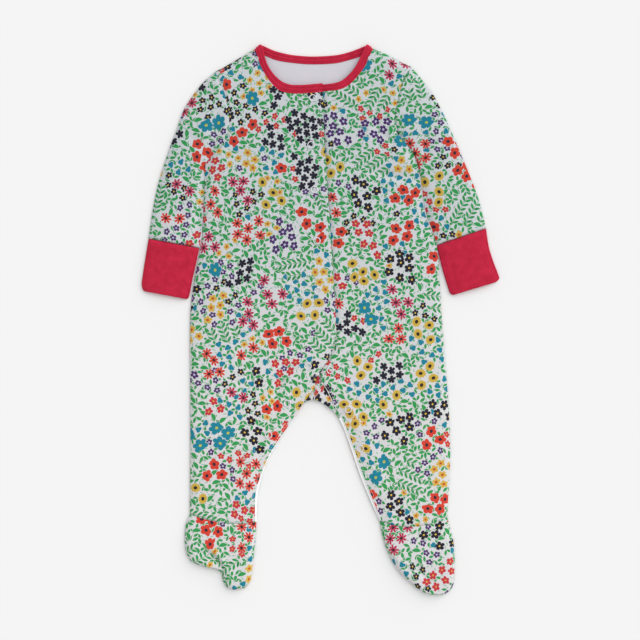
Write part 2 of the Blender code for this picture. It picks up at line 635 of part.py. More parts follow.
def make_poppers(material):
    """Open rings that lie on the fronts, each tilted as the cloth under it."""
    heights = {"right": right_height, "left": left_height}
    for number, popper in enumerate(POPPERS, 1):
        height = heights[popper.panel]
        here = height(popper.x, popper.y)
        step = RING_RADIUS
        slope_x = (height(popper.x + step, popper.y) - height(popper.x - step, popper.y)) / (2 * step)
        slope_y = (height(popper.x, popper.y + step) - height(popper.x, popper.y - step)) / (2 * step)
        mesh = bmesh.new()
        wire = bmesh.ops.create_circle(mesh, segments=RING_SIDES, radius=RING_WIRE * MM)["verts"]
        for vertex in wire:
            vertex.co = Vector((RING_RADIUS * MM + vertex.co.x, 0.0, vertex.co.y))
        bmesh.ops.spin(mesh, geom=mesh.verts[:] + mesh.edges[:], cent=(0, 0, 0), axis=(0, 0, 1),
                       angle=2 * math.pi, steps=RING_STEPS, use_merge=True)
        thing = finish(mesh, f"popper_{number:02d}", material)
        lift = RING_WIRE + POPPER_GAP
        thing.location = Vector((popper.x, popper.y, here + lift)) * MM
        thing.rotation_mode = "QUATERNION"
        normal = Vector((-slope_x, -slope_y, 1.0)).normalized()
        thing.rotation_quaternion = Vector((0, 0, 1)).rotation_difference(normal)


def main():
    for thing in list(bpy.data.objects):
        bpy.data.objects.remove(thing)
    printed = colour("printed_jersey", 0.66, 0.68, 0.70, 0.85)
    rib = colour("raspberry_rib", 0.55, 0.02, 0.05, 0.8)
    enamel = colour("white_popper", 0.85, 0.85, 0.85, 0.35)
    make_back(printed)
    make_band(printed)
    make_fronts(printed)
    make_sleeves(printed, rib)
    make_binding(rib)
    make_feet(printed)
    make_poppers(enamel)


main()
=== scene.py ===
import math

import bmesh
import bpy
import numpy as np
from mathutils import Matrix, Vector


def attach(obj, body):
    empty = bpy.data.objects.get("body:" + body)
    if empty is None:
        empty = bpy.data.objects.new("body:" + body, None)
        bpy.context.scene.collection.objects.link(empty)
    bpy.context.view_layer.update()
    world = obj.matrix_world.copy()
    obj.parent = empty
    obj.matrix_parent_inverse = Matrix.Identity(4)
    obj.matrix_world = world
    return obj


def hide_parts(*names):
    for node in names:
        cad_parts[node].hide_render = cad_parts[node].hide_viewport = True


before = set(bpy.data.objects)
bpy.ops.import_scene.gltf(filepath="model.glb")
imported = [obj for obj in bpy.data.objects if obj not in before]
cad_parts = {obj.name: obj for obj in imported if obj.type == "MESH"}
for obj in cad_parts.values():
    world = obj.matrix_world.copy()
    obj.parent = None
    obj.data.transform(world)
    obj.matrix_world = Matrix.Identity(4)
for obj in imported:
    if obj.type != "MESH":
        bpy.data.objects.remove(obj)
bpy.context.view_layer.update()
mm = 0.001  # all shapes below are worked out in millimetres


# Lines and grids of points

rollAngles = np.radians([0, 12, 24, 36, 48, 60, 75, 90])  # steps round a rolled or rounded edge
rollSteps = len(rollAngles) - 1
curveSteps = 12  # from one given point of a line to the next
mostRolled = 0.4  # share of a line's length that one rounded edge may take
ankleFade = 40.0  # how far above the ankle seam the rows are level with it


def smoothLine(points):  # a Catmull-Rom curve through the points
    given = np.array(points, float)
    ends = np.vstack([2 * given[0] - given[1], given, 2 * given[-1] - given[-2]])
    steps = np.linspace(0, 1, curveSteps + 1)[:-1, None]
    spans = []
    for a, b, c, d in zip(ends, ends[1:], ends[2:], ends[3:]):
        bend = 2 * a - 5 * b + 4 * c - d
        cubic = 3 * (b - c) + d - a
        spans.append(b + 0.5 * steps * (c - a + steps * (bend + steps * cubic)))
    return np.vstack([*spans, given[-1:]])


def distances(line):
    return np.concatenate([[0.0], np.cumsum(np.linalg.norm(np.diff(line, axis=0), axis=1))])


def pointsAt(line, wanted):
    run = distances(line)
    return np.stack([np.interp(wanted, run, line[:, k]) for k in range(line.shape[1])], axis=1)


def evenPoints(line, count):
    return pointsAt(line, np.linspace(0, distances(line)[-1], count))


def unit(vectors):
    return vectors / np.maximum(np.linalg.norm(vectors, axis=-1, keepdims=True), 1e-9)


def shifted(curve, by):  # moved sideways, to the right of its own direction
    line = smoothLine(curve)
    heading = unit(np.gradient(line, axis=0))
    return line + by * np.stack([heading[:, 1], -heading[:, 0]], axis=1)


def ease(t):
    t = np.clip(t, 0, 1)
    return t * t * (3 - 2 * t)


def stops(length, count, reachStart, reachEnd):  # close together at rounded edges, even between
    reachStart, reachEnd = (min(reach, mostRolled * length) for reach in (reachStart, reachEnd))
    first = reachStart * (1 - np.cos(rollAngles)) if reachStart else np.zeros(1)
    last = length - reachEnd * (1 - np.cos(rollAngles))[::-1] if reachEnd else np.full(1, length)
    middle = np.linspace(first[-1], last[0], count + 1)[1:-1]
    return np.concatenate([first, middle, last])


def turns(count, reachStart, reachEnd):  # the angle round each rounded edge at the same stops
    size = count + 1 + rollSteps * (bool(reachStart) + bool(reachEnd))
    start, end = np.full(size, np.pi / 2), np.full(size, np.pi / 2)
    if reachStart:
        start[: rollSteps + 1] = rollAngles
    if reachEnd:
        end[-rollSteps - 1:] = rollAngles[::-1]
    return start, end


def chain(curves, counts, reachStart=0, reachEnd=0):  # curves joined end to end
    rows = []
    for k, (curve, count) in enumerate(zip(curves, counts)):
        line = smoothLine(curve)
        atStart = reachStart if k == 0 else 0
        atEnd = reachEnd if k == len(curves) - 1 else 0
        points = pointsAt(line, stops(distances(line)[-1], count, atStart, atEnd))
        rows.append(points[min(k, 1):])
    return np.vstack(rows)


def bowed(edge, bow):  # the straight line between an edge's ends, dipping in the middle
    share = (distances(edge) / distances(edge)[-1])[:, None]
    line = edge[0] + (edge[-1] - edge[0]) * share
    line[:, 1] -= bow * 4 * share[:, 0] * (1 - share[:, 0])
    return line


def planOf(left, right, columns, reachLeft, reachRight, top=None, topFade=1.0, bow=0.0):
    # A grid between two lines. Its first row is the top line where one is given, and its last one is bowed.
    grid = []
    for a, b in zip(left, right):
        length = np.linalg.norm(b - a)
        grid.append(a + (b - a) * stops(length, columns, reachLeft, reachRight)[:, None] / length)
    grid = np.array(grid)
    run = (distances(left) + distances(right)) / 2
    if top is not None:
        leftOver = 1 - ease(run[:, None] / np.full(len(top), topFade))
        grid = grid + (top - grid[0]) * leftOver[:, :, None]
    dip = bowed(grid[-1], bow) - grid[-1]
    return grid + dip * (1 - ease((run[-1] - run) / ankleFade))[:, None, None]


def edgeGaps(grid):  # how far each point is from the left, right, top and bottom edge, along the cloth
    across = np.linalg.norm(np.diff(grid, axis=1), axis=2)
    down = np.linalg.norm(np.diff(grid, axis=0), axis=2)
    left = np.pad(np.cumsum(across, axis=1), ((0, 0), (1, 0)))
    top = np.pad(np.cumsum(down, axis=0), ((1, 0), (0, 0)))
    return left, left[:, -1:] - left, top, top[-1:] - top


def clothMap(points):  # the cloth's own flat coordinates: x and y, and what a roll adds to them
    def extra(axis):
        steps = np.diff(points, axis=axis)
        more = np.linalg.norm(steps, axis=2) - np.linalg.norm(steps[..., :2], axis=2)
        run = np.cumsum(more, axis=axis)
        run = np.insert(run, 0, 0, axis=axis)
        return run - np.take(run, [run.shape[axis] // 2], axis=axis)
    way = np.sign(points[0, -1, 0] - points[0, 0, 0])
    return np.stack([points[..., 0] + way * extra(1), points[..., 1] - extra(0)], axis=2)


# How the cloth lies

lay = {
    "top": 6.2,          # upper face of the upper layer
    "seam": 1.5,         # height of a side seam in its rolled edge
    "least": 2.2,        # of the upper face, where a crease brings the two layers together
    "sag": 1.9,          # how much closer the layers lie next to a side
    "sagReach": 15.0,    # and how far in from the side they do
    "high": 0.25,        # of that, where a side leans over the one next to it
    "low": 1.75,         # and where it lies below
    "full": 0.6,         # smaller makes an edge that leans over steeper
    "seamGap": 0.3,      # between the two layers at a seam
    "roll": 7.5,         # how far a rolled side reaches in
    "round": 0.3,        # share of a roll that is as full as a circle, the rest being softer
    "cloth": 1.1,        # wall of the printed interlock
    "uneven": ((0.22, 38, 1.3), (0.1, 13, 4.1)),  # height, size and seed of its soft unevenness
}

# Creases in the upper layer: a bowed trough from (x0, y0) to (x1, y1) with a low ridge beside it
creases = np.array([
    # x0, y0, x1, y1, bow, width, depth
    (-26, -47, -49, -84, 3, 3.4, 3.0),       # from the crotch popper down the right leg
    (-16, -58, -46, -44, -3, 5.0, 0.6),
    (14, -64, 46, -60, 4, 5.0, 0.6),
    (20, -84, 52, -104, -3, 5.0, 0.5),
    (-30, -92, -66, -122, 4, 6.0, 0.5),
    (-46, -2, -26, -28, 4, 8.0, 0.6),
    (-66, -130, -74, -176, -3, 4.0, 0.9),    # down the inside of the right leg
    (66, -120, 76, -176, 3, 5.0, 0.7),
    (-111, 218, -125, 158, -1, 5.0, 3.6),    # where the right sleeve lies against the body
    (-127, 168, -132, 86, -1, 5.0, 1.8),
    (-140, 196, -118, 184, -3, 5.0, 0.9),
    (-106, 188, -76, 156, -4, 5.0, 0.8),     # from the underarms into the chest
    (-104, 200, -86, 180, 2, 3.5, 0.8),
    (82, 216, 103, 178, 2, 5.5, 2.3),
    (60, 214, 96, 178, 3, 4.0, 1.0),
    (54, 164, 108, 154, 3, 4.5, 2.2),
    (84, 196, 70, 178, 5, 5.5, 0.6),
    (104, 176, 117, 108, -2, 5.0, 2.4),
    (114, 196, 122, 152, 2, 5.0, 1.0),
    (118, 108, 132, 86, 2, 4.5, 1.2),
    (60, 246, 66, 178, 2, 5.0, 1.0),         # soft upright fold below the left shoulder
    (-92, 262, -84, 214, 3, 7.0, 0.5),
    (-70, 284, -58, 236, -4, 7.0, 0.5),
    (-136, 36, -124, -36, 3, 6.0, 0.4),
    (134, 20, 124, -40, -3, 6.0, 0.4),
    (-128, -110, -118, -186, -3, 7.0, 0.6),
    (126, -112, 118, -190, 3, 7.0, 0.6),
    (-150, 206, -124, 176, -4, 4.5, 0.6),    # across the sleeves at the underarm
    (122, 226, 100, 200, 3, 4.5, 0.7),
    (140, 196, 112, 178, 4, 4.5, 0.7),
    (-172, 118, -140, 112, 3, 5.0, 0.6),
    (166, 124, 132, 112, -3, 5.0, 0.6),
    (-104.6, -275, -123, -253, 4, 2.0, 3.6),  # the right foot folds up from its notch
    (-110, -268, -128, -252, 3, 6.0, 1.3),
    (-84, -232, -104, -262, 4, 5.0, 0.5),
    (103, -262, 120, -284, 3, 3.0, 1.5),     # the left foot's instep
    (84, -232, 112, -240, -4, 5.0, 0.6),
    (92, -268, 122, -271, 6, 1.8, 0.7),
    (-66, -206, -100, -214, 3, 4.0, 0.4),    # at the ankles
    (72, -206, 104, -214, -3, 4.0, 0.4),
])

cuffCreases = np.array([
    (-176, 70, -133, 77, 4, 2.6, 0.8),       # folds below the right cuff's seam
    (-150, 74, -134, 66, -2, 3.2, 0.7),
    (-181, 52, -172, 80, 3, 5.0, 0.45),
    (-176, 40, -168, 52, 2, 2.6, 0.55),
    (-152, 34, -146, 62, -3, 5.0, 0.45),
    (129, 78, 150, 74, -3, 3.4, 0.8),        # and the left one's
    (134, 72, 141, 48, 3, 3.0, 0.6),
    (176, 94, 184, 58, 3, 4.0, 0.5),
    (160, 36, 170, 66, -4, 6.0, 0.4),
])

bandCreases = np.array([
    (-14, -81, 5, -76, 3, 1.7, 1.3),         # the popper band bunches where it turns round the crotch
    (-5, -83, 11, -92, 2, 1.6, 1.2),
    (1, -70, 4, -84, -2, 1.6, 0.9),
    (-16, -86, -4, -82, 1, 1.4, 0.7),
    (12, -86, 20, -102, 1, 1.8, 0.8),
])

creaseShape = {
    "ends": 0.1,         # how much of the arc of its depth is cut off at each end
    "taper": 0.8,        # smaller keeps a crease deep for longer
    "ridge": 0.3,        # height of the ridge beside it, as a share of the depth
    "ridgeAt": 1.9,      # its distance and its width, in widths of the crease
    "ridgeWidth": 1.5,
}

# The sines that add up to a soft unevenness: how many, and how each differs from the one before
waves = {"count": 5, "turn": 2.4, "shortest": 0.75, "longer": 0.16, "phase": 5.3}

ditch = {                # a sewn edge
    "deep": 0.6,
    "width": 1.5,
    "ridge": 0.25,       # the cloth swells a little next to it
    "ridgeAt": 4.2,
    "ridgeWidth": 2.2,
    "pucker": 0.3,
    "puckerLength": 6.5,
    "puckerReach": 4.5,
}


def rounded(angle, amount):  # share of the height that is left on a rounded edge
    full = lay["round"]
    return 1 - amount * (1 - full * np.sin(angle) - (1 - full) * np.sin(angle) ** 2)


def creaseDepth(x, y, table=creases):
    total = np.zeros_like(x)
    ends = creaseShape["ends"]
    for x0, y0, x1, y1, bow, width, depth in table:
        ax, ay = x1 - x0, y1 - y0
        length = math.hypot(ax, ay)
        along = ((x - x0) * ax + (y - y0) * ay) / length
        gap = ((x - x0) * ay - (y - y0) * ax) / length
        share = np.clip(along / length, 0, 1)
        gap = gap - bow * 4 * share * (1 - share)
        past = along - share * length
        taper = np.sin(np.pi * (ends + (1 - 2 * ends) * share)) ** creaseShape["taper"]
        trough = np.exp(-(gap**2 + past**2) / width**2)
        ridgeGap = gap - creaseShape["ridgeAt"] * width
        ridge = np.exp(-(ridgeGap**2 + past**2) / (creaseShape["ridgeWidth"] * width) ** 2)
        total += depth * taper * (trough - creaseShape["ridge"] * ridge)
    return total


def undulation(x, y, size, seed):  # a soft unevenness between -1 and 1
    total = np.zeros_like(x)
    for k in range(waves["count"]):
        angle = seed + waves["turn"] * k
        pitch = 2 * np.pi / (size * (waves["shortest"] + waves["longer"] * k))
        total += np.sin(pitch * (x * math.cos(angle) + y * math.sin(angle)) + waves["phase"] * k * seed)
    return total / waves["count"]


def sagNear(gap):  # the layers lie closer together next to a rolled side
    return lay["sag"] * np.exp(-((gap / lay["sagReach"]) ** 2))


def seamDitch(gap, along, seed):  # a sewn edge: the cloth dips to it and puckers a little
    dip = ditch["deep"] * np.exp(-((gap / ditch["width"]) ** 2))
    ridge = ditch["ridge"] * np.exp(-(((gap - ditch["ridgeAt"]) / ditch["ridgeWidth"]) ** 2))
    ripple = undulation(along, 0 * along, ditch["puckerLength"], seed) * np.exp(-gap / ditch["puckerReach"])
    return dip - ridge + ditch["pucker"] * ripple


def upperHeight(x, y):
    z = lay["top"] - creaseDepth(x, y)
    for high, size, seed in lay["uneven"]:
        z = z - high * undulation(x, y, size, seed)
    return z


# Outlines of the laid suit: (x, y) from the neck to the feet

outline = {
    "armholeRight": [(-115.5, 269.0), (-107.9, 255.9), (-102.5, 241.7), (-98.6, 220.0), (-101.4, 198.1),
                     (-109.0, 187.2), (-117.6, 178.0), (-123.2, 171.8), (-125.4, 167.6)],
    "armholeLeft": [(99.2, 275.5), (90.5, 261.3), (86.1, 245.0), (81.2, 222.0), (85.0, 203.6),
                    (91.6, 193.7), (101.4, 182.8)],
    "sideRight": [(-125.4, 167.6), (-125.8, 150.0), (-126.8, 122.0), (-128.8, 86.0), (-137.3, 40.1),
                  (-141.2, -0.3), (-141.2, -87.5)],
    "sideLeft": [(101.4, 182.8), (106.8, 168.7), (111.6, 144.0), (113.2, 128.0), (117.0, 112.0),
                 (122.4, 98.0), (128.1, 73.8), (133.0, -0.3), (139.6, -87.5)],
    "legSideRight": [(-141.2, -87.5), (-141.2, -152.9), (-141.6, -211.5)],
    "legSideLeft": [(139.6, -87.5), (141.7, -131.1), (141.2, -163.8), (138.4, -214.5)],
    "lapTop": [(2.9, 248.7), (3.6, 228.6), (4.6, 195.9), (6.3, 172.0)],
    "lapBody": [(6.3, 172.0), (11.8, 86.9), (15.3, 32.4), (17.4, -11.2), (15.3, -25.3), (10.1, -41.7),
                (4.0, -50.4), (0.8, -55.4), (-0.9, -59.6), (-4.0, -64.0), (-5.1, -68.3)],
    "centreBody": [(-6.0, 172.0), (-4.0, 0.0), (-6.0, -86.4)],
    "crotchRight": [(-6.0, -86.4), (-11.5, -87.6), (-16.4, -90.0), (-21.6, -95.6), (-27.2, -104.4),
                    (-34.2, -115.8), (-44.8, -131.4), (-57.2, -153.4), (-64.2, -173.4), (-68.2, -195.0),
                    (-69.2, -220.2)],
    "crotchLeft": [(-6.0, -86.4), (-0.9, -88.9), (4.6, -92.0), (11.0, -96.6), (16.2, -101.4),
                   (20.6, -107.8), (26.3, -119.6), (36.1, -147.4), (44.8, -172.5), (57.4, -202.8),
                   (65.0, -219.0)],
    "frontLegRight": [(-5.1, -68.3), (-5.4, -73.0), (-8.4, -78.4), (-13.0, -83.8), (-17.4, -89.8),
                      (-22.6, -97.4), (-28.2, -106.0), (-35.0, -117.0), (-45.6, -132.2), (-58.0, -154.2),
                      (-69.1, -187.8), (-69.9, -220.2)],
    "frontLegLeft": [(1.5, -68.3), (4.6, -72.0), (8.7, -79.4), (15.3, -93.2), (22.0, -104.1),
                     (29.0, -120.2), (38.8, -147.4), (47.5, -172.5), (59.6, -202.8), (66.4, -219.0)],
    "shoulderRight": [(-115.5, 269.0), (-98.1, 278.8), (-81.8, 288.6), (-72.2, 293.8)],
    "shoulderLeft": [(99.2, 275.5), (87.2, 280.9), (70.9, 289.7), (58.2, 294.9)],
    # the neck binding's sewn and free edges
    "sewnFrontRight": [(-70.2, 292.2), (-66.6, 283.4), (-62.4, 274.6), (-56.8, 264.8), (-50.6, 256.6),
                       (-43.4, 250.5), (-33.5, 247.6), (-20.7, 247.0), (-9.0, 247.8), (2.9, 248.7)],
    "freeFrontRight": [(-62.4, 297.6), (-60.6, 290.4), (-59.2, 283.6), (-56.5, 276.4), (-52.0, 269.2),
                       (-46.4, 262.9), (-40.0, 258.2), (-31.5, 255.4), (-20.9, 255.1), (-9.0, 255.9),
                       (2.9, 256.7)],
    "sewnFrontLeft": [(56.2, 292.8), (52.6, 284.0), (48.9, 277.4), (44.5, 271.4), (39.2, 264.8),
                      (32.6, 257.9), (25.6, 253.2), (16.8, 250.0), (2.9, 248.4), (-17.1, 247.4)],
    "freeFrontLeft": [(49.2, 297.4), (45.8, 289.6), (41.3, 280.4), (37.4, 273.6), (32.5, 267.6),
                      (27.3, 262.6), (21.5, 258.9), (13.6, 256.8), (2.9, 256.0), (-17.1, 255.2)],
    "sewnBack": [(-70.0, 291.6), (-61.0, 288.9), (-46.4, 283.1), (-25.6, 280.0), (-7.5, 278.9),
                 (16.1, 280.0), (30.0, 283.1), (45.3, 287.8), (56.0, 292.5)],
    "freeBack": [(-63.6, 299.3), (-58.0, 296.6), (-52.4, 294.0), (-46.4, 292.0), (-36.0, 289.4),
                 (-25.6, 287.8), (-7.5, 286.7), (16.1, 288.0), (30.0, 291.0), (40.0, 294.4), (49.8, 298.6)],
    "neckPointRight": [(-71.6, 293.8), (-64.5, 299.7)],
    "neckPointLeft": [(58.0, 294.4), (50.9, 299.7)],
    # sleeves and cuffs
    "sleeveOutRight": [(-115.5, 269.0), (-130.6, 254.5), (-147.0, 231.0), (-155.5, 209.0),
                       (-167.1, 177.1), (-176.7, 145.8), (-182.8, 114.5), (-186.6, 88.5)],
    "sleeveInRight": [(-125.0, 167.6), (-125.2, 150.0), (-126.2, 122.0), (-128.2, 88.0), (-130.6, 78.2)],
    "sleeveOutLeft": [(99.2, 275.5), (119.9, 250.4), (127.5, 237.3), (138.4, 215.5), (157.0, 171.9),
                      (166.8, 148.0), (174.4, 125.1), (181.0, 99.7)],
    "sleeveInLeft": [(101.0, 182.6), (106.0, 168.7), (110.8, 144.0), (112.4, 128.0), (116.4, 112.0),
                     (122.0, 98.0), (126.6, 81.5)],
    "cuffOutRight": [(-186.7, 88.0), (-191.0, 62.0), (-193.9, 42.0), (-193.7, 35.0), (-191.6, 31.1)],
    "cuffInRight": [(-131.4, 77.6), (-133.9, 65.8), (-138.9, 43.3), (-142.4, 26.0), (-145.0, 22.4)],
    "cuffOutLeft": [(180.8, 99.3), (183.8, 80.0), (188.6, 64.0), (195.0, 47.0), (194.4, 43.4),
                    (191.2, 40.8)],
    "cuffInLeft": [(127.0, 80.8), (133.6, 54.0), (140.4, 32.0), (142.0, 28.6), (144.8, 26.8)],
    # feet: the side away from the other leg and the side next to it
    "heelOutRight": [(-141.6, -211.8), (-145.8, -222.0), (-147.2, -238.0), (-145.8, -252.0),
                     (-140.6, -262.6), (-126.5, -268.8), (-113.5, -271.6), (-107.0, -275.0)],
    "toeOutRight": [(-107.0, -275.0), (-105.7, -283.7), (-101.4, -291.3), (-94.0, -294.1)],
    "heelInRight": [(-69.2, -220.2), (-69.8, -234.6), (-71.9, -256.4), (-73.4, -272.0)],
    "toeInRight": [(-73.4, -272.0), (-76.3, -285.9), (-82.5, -292.6)],
    "heelOutLeft": [(138.4, -214.5), (141.7, -227.0), (145.0, -240.1), (146.6, -256.4), (146.6, -275.0)],
    "toeOutLeft": [(146.6, -275.0), (145.5, -287.0), (142.4, -293.8), (136.5, -298.4), (131.0, -299.6)],
    "heelInLeft": [(65.0, -219.0), (68.1, -234.6), (73.0, -251.0), (82.8, -270.6)],
    "toeInLeft": [(82.8, -270.6), (92.7, -281.5), (109.0, -294.6), (119.0, -299.2)],
}


# Materials

def linear(hexColour):  # sRGB hex to the linear colour that Blender works in
    parts = [int(hexColour[k: k + 2], 16) / 255 for k in (1, 3, 5)]
    return [p / 12.92 if p <= 0.04045 else ((p + 0.055) / 1.055) ** 2.4 for p in parts] + [1.0]


def put(tree, kind, inputs=(), out=0, **settings):
    # Adds a node and returns one of its outputs. Inputs go by place, number or name: a Mix node's share is 0,
    # its two numbers are 2 and 3 and its two colours are 6 and 7.
    node = tree.nodes.new("ShaderNode" + kind)
    for name, value in settings.items():
        if name == "stops":
            for k, (place, colour) in enumerate(value):
                element = node.color_ramp.elements[k] if k < 2 else node.color_ramp.elements.new(place)
                element.position, element.color = place, colour
            node.color_ramp.interpolation = "CONSTANT"
        else:
            setattr(node, name, value)
    for key, value in (inputs.items() if isinstance(inputs, dict) else enumerate(inputs)):
        if isinstance(value, bpy.types.NodeSocket):
            tree.links.new(value, node.inputs[key])
        else:
            node.inputs[key].default_value = value
    return node.outputs[out]


def tinted(tree, shader, share, low, high):  # between two colours, into the shader
    base = put(tree, "Mix", {0: share, 6: linear(low), 7: linear(high)}, out=2, data_type="RGBA")
    tree.links.new(base, shader.inputs["Base Color"])


def newMaterial(name, settings):
    material = bpy.data.materials.new(name)
    material.use_nodes = True
    shader = material.node_tree.nodes["Principled BSDF"]
    for key, value in settings.items():
        shader.inputs[key].default_value = value
    return material, material.node_tree, shader


def clothPlace(tree):  # the cloth's own coordinates, in millimetres
    place = put(tree, "UVMap", uv_map="cloth")
    return put(tree, "VectorMath", {0: place, 3: 1000.0}, operation="SCALE")


knits = {  # in mm, coarser than the real ones, which are too fine to show: wale, course and relief
    "interlock": (1.0, 1.3, 0.05),
    "tape": (1.2, 1.2, 0.04),
    "cuffRib": (1.5, 1.1, 0.05),
    "bindingRib": (1.4, 1.1, 0.05),
}
courseShare = 0.35  # how deep the courses are beside the wales
fuzzShare = 1.6  # and the cloth's fuzz
fuzzGrain = 1.7  # grains to a millimetre


def knitRelief(tree, shader, place, knit):  # loops in columns a wale apart
    wale, course, depth = knits[knit]
    loops = []
    for number, pitch in enumerate((wale, course)):
        run = put(tree, "SeparateXYZ", (place,), out=number)
        run = put(tree, "Math", (run, 2 * math.pi / pitch), operation="MULTIPLY")
        loops.append(put(tree, "Math", (run,), operation="COSINE"))
    columns, rows = loops
    loops = put(tree, "Math", (rows, courseShare, columns), operation="MULTIPLY_ADD")
    fuzz = put(tree, "TexNoise", {"Vector": place, "Scale": fuzzGrain, "Detail": 2.0}, noise_dimensions="2D")
    height = put(tree, "Math", (fuzz, fuzzShare, loops), operation="MULTIPLY_ADD")
    bump = put(tree, "Bump", {"Strength": 1.0, "Distance": depth * mm, "Height": height})
    tree.links.new(bump, shader.inputs["Normal"])
    return fuzz, columns


# The print. A patch is a Voronoi cell, and all large motifs that stand in it are of one kind, in staggered
# rows at the patch's own angle. Small motifs stand between them wherever they have room. Sizes are in mm.
printLook = {
    "patchSize": 37.0,
    "ground": "#CECED1",
    "leaf": "#279149",
    "paleLeaf": "#74B08A",
    "halo": 0.6,         # bare ground left round each motif
    "edge": 0.2,         # softness of the ink's edge
    "worn": 0.05,        # how far the ground shows through the ink at most
    "paintedShade": ((1.07, 1.05, 1.03, 1.0), (0.88, 0.92, 0.93, 1.0)),  # painted shade and light: the colour's factor at the feet and at the shoulders
    "paintedShadeSpan": (-0.15, 0.2),  # where it starts and ends, in metres
    "squash": (0.94, 1.14, 0.0),  # flowers aren't quite round
    "rowRatio": 0.86,    # a row's height to the spacing in it
    "wander": 0.9,       # of the patches' middles
    "border": (14.5, 1.0),  # room at a patch's border: for each 16 mm of a motif's radius, and at least
    # cell: across, up, stray. leaf: half length, half width. pair: back, lean, reach, half length, half width
    "fern": {"rowRatio": 2.31, "border": 3.5, "pair": (2.6, 0.8, 3.9, 3.7, 1.4), "stem": 0.28},
    "strokes": {"cell": (5.4, 4.8, 0.25), "seed": 3.0, "lean": 0.9, "absent": 0.35, "leaf": (2.2, 0.5)},
    "sprouts": {"cell": (9.2, 8.0, 0.12), "seed": 11.0, "lean": -0.6, "absent": 0.05, "room": 1.2,
                "pair": (2.5, 0.65, 3.5, 3.2, 1.4)},
    "singles": {"cell": (11.0, 9.4, 0.07), "seed": 23.0, "lean": 0.35, "room": 2.4, "leaf": (5.0, 2.2),
                "turn": 2.5, "curve": 0.04, "pair": (2.9, 0.7, 4.0, 3.7, 1.65), "leaves": 0.55,
                "leafy": 0.48, "patchSize": 24},
    "kinds": [
        # share, petals, waist, roundness, radius, middle's radius, spacing, stray, colour, middle's colour
        (0.07, 5, 0.38, 0.55, 4.9, 0.0, 9.8, 0.08, "#0C0D22", "#0C0D22"),    # navy cluster
        (0.10, 12, 0.70, 0.70, 5.8, 2.0, 14.2, 0.17, "#C7A639", "#20161C"),  # ox-eye
        (0.14, 8, 0.30, 0.85, 6.5, 1.6, 14.0, 0.17, "#B0264A", "#331522"),   # red daisy
        (0.07, 8, 0.34, 0.85, 6.4, 1.6, 14.0, 0.17, "#C83824", "#2A1520"),   # orange-red daisy
        (0.10, 5, 0.62, 0.50, 6.5, 1.8, 14.0, 0.17, "#CA3822", "#1B1830"),   # poppy
        (0.05, 5, 0.45, 0.50, 4.9, 1.1, 11.8, 0.16, "#BC2C38", "#D09440"),   # small red
        (0.05, 5, 0.45, 0.50, 4.9, 1.5, 11.8, 0.16, "#CAA53E", "#B8481F"),   # small yellow
        (0.07, 5, 0.45, 0.50, 5.6, 1.1, 12.8, 0.17, "#0C0D22", "#D0AF43"),   # navy with a yellow middle
        (0.05, 5, 0.45, 0.50, 4.9, 1.3, 11.6, 0.16, "#42235F", "#BAB2CC"),   # purple
        (0.14, 6, 0.58, 0.50, 8.4, 1.6, 17.5, 0.16, "#007C92", "#B8B44A"),   # large teal
        (0.16, 1, 0.00, 1.00, 0.0, 0.0, 5.4, 0.00, "#279149", "#279149"),    # fern leaves
    ],
    "smallKinds": [
        (0.18, 5, 0.45, 0.50, 3.9, 0.9, 0.0, 0.0, "#BC2C38", "#D09440"),
        (0.34, 3, 0.60, 0.70, 3.6, 0.0, 0.0, 0.0, "#007C92", "#007C92"),
        (0.16, 5, 0.45, 0.50, 3.8, 1.1, 0.0, 0.0, "#42235F", "#BAB2CC"),
        (0.16, 5, 0.45, 0.50, 3.8, 1.2, 0.0, 0.0, "#CAA53E", "#B8481F"),
        (0.16, 5, 0.45, 0.50, 4.0, 0.9, 0.0, 0.0, "#0C0D22", "#D0AF43"),
    ],
}


nowhere = 20.0  # added to the gap where a motif isn't printed
most = {"petals": 16, "radius": 16.0, "spacing": 32.0}  # the sizes in a colour ramp are shares of these


def scatter(tree, place, across, up, stray, seed):
    # Cells in staggered rows, each with one point that strays from its middle. Returns the place seen from
    # that point, the point itself and the cell's three random numbers.
    size = put(tree, "CombineXYZ", (across, up, 1.0))
    scaled = put(tree, "VectorMath", (place, size), operation="DIVIDE")
    row = put(tree, "Math", (put(tree, "SeparateXYZ", (scaled,), out=1),), operation="FLOOR")
    odd = put(tree, "Math", (row, 2.0), operation="FLOORED_MODULO")
    shift = put(tree, "CombineXYZ", (put(tree, "Math", (odd, 0.5), operation="MULTIPLY"),))
    staggered = put(tree, "VectorMath", (scaled, shift), operation="ADD")
    cell = put(tree, "VectorMath", (staggered,), operation="FLOOR")
    key = put(tree, "VectorMath", (cell, seed), operation="ADD")
    three = put(tree, "TexWhiteNoise", {"Vector": key}, out="Color", noise_dimensions="2D")
    offset = put(tree, "VectorMath", (three, (0.5, 0.5, 0.5)), operation="SUBTRACT")
    span = put(tree, "Math", (stray, 2.0), operation="MULTIPLY")
    offset = put(tree, "VectorMath", {0: offset, 3: span}, operation="SCALE")
    local = put(tree, "VectorMath", (staggered, cell), operation="SUBTRACT")
    local = put(tree, "VectorMath", (local, (0.5, 0.5, 0.0)), operation="SUBTRACT")
    local = put(tree, "VectorMath", (local, offset), operation="SUBTRACT")
    local = put(tree, "VectorMath", (local, size), operation="MULTIPLY")
    local = put(tree, "VectorMath", (local, (1.0, 1.0, 0.0)), operation="MULTIPLY")
    point = put(tree, "VectorMath", (place, local), operation="SUBTRACT")
    return local, point, three


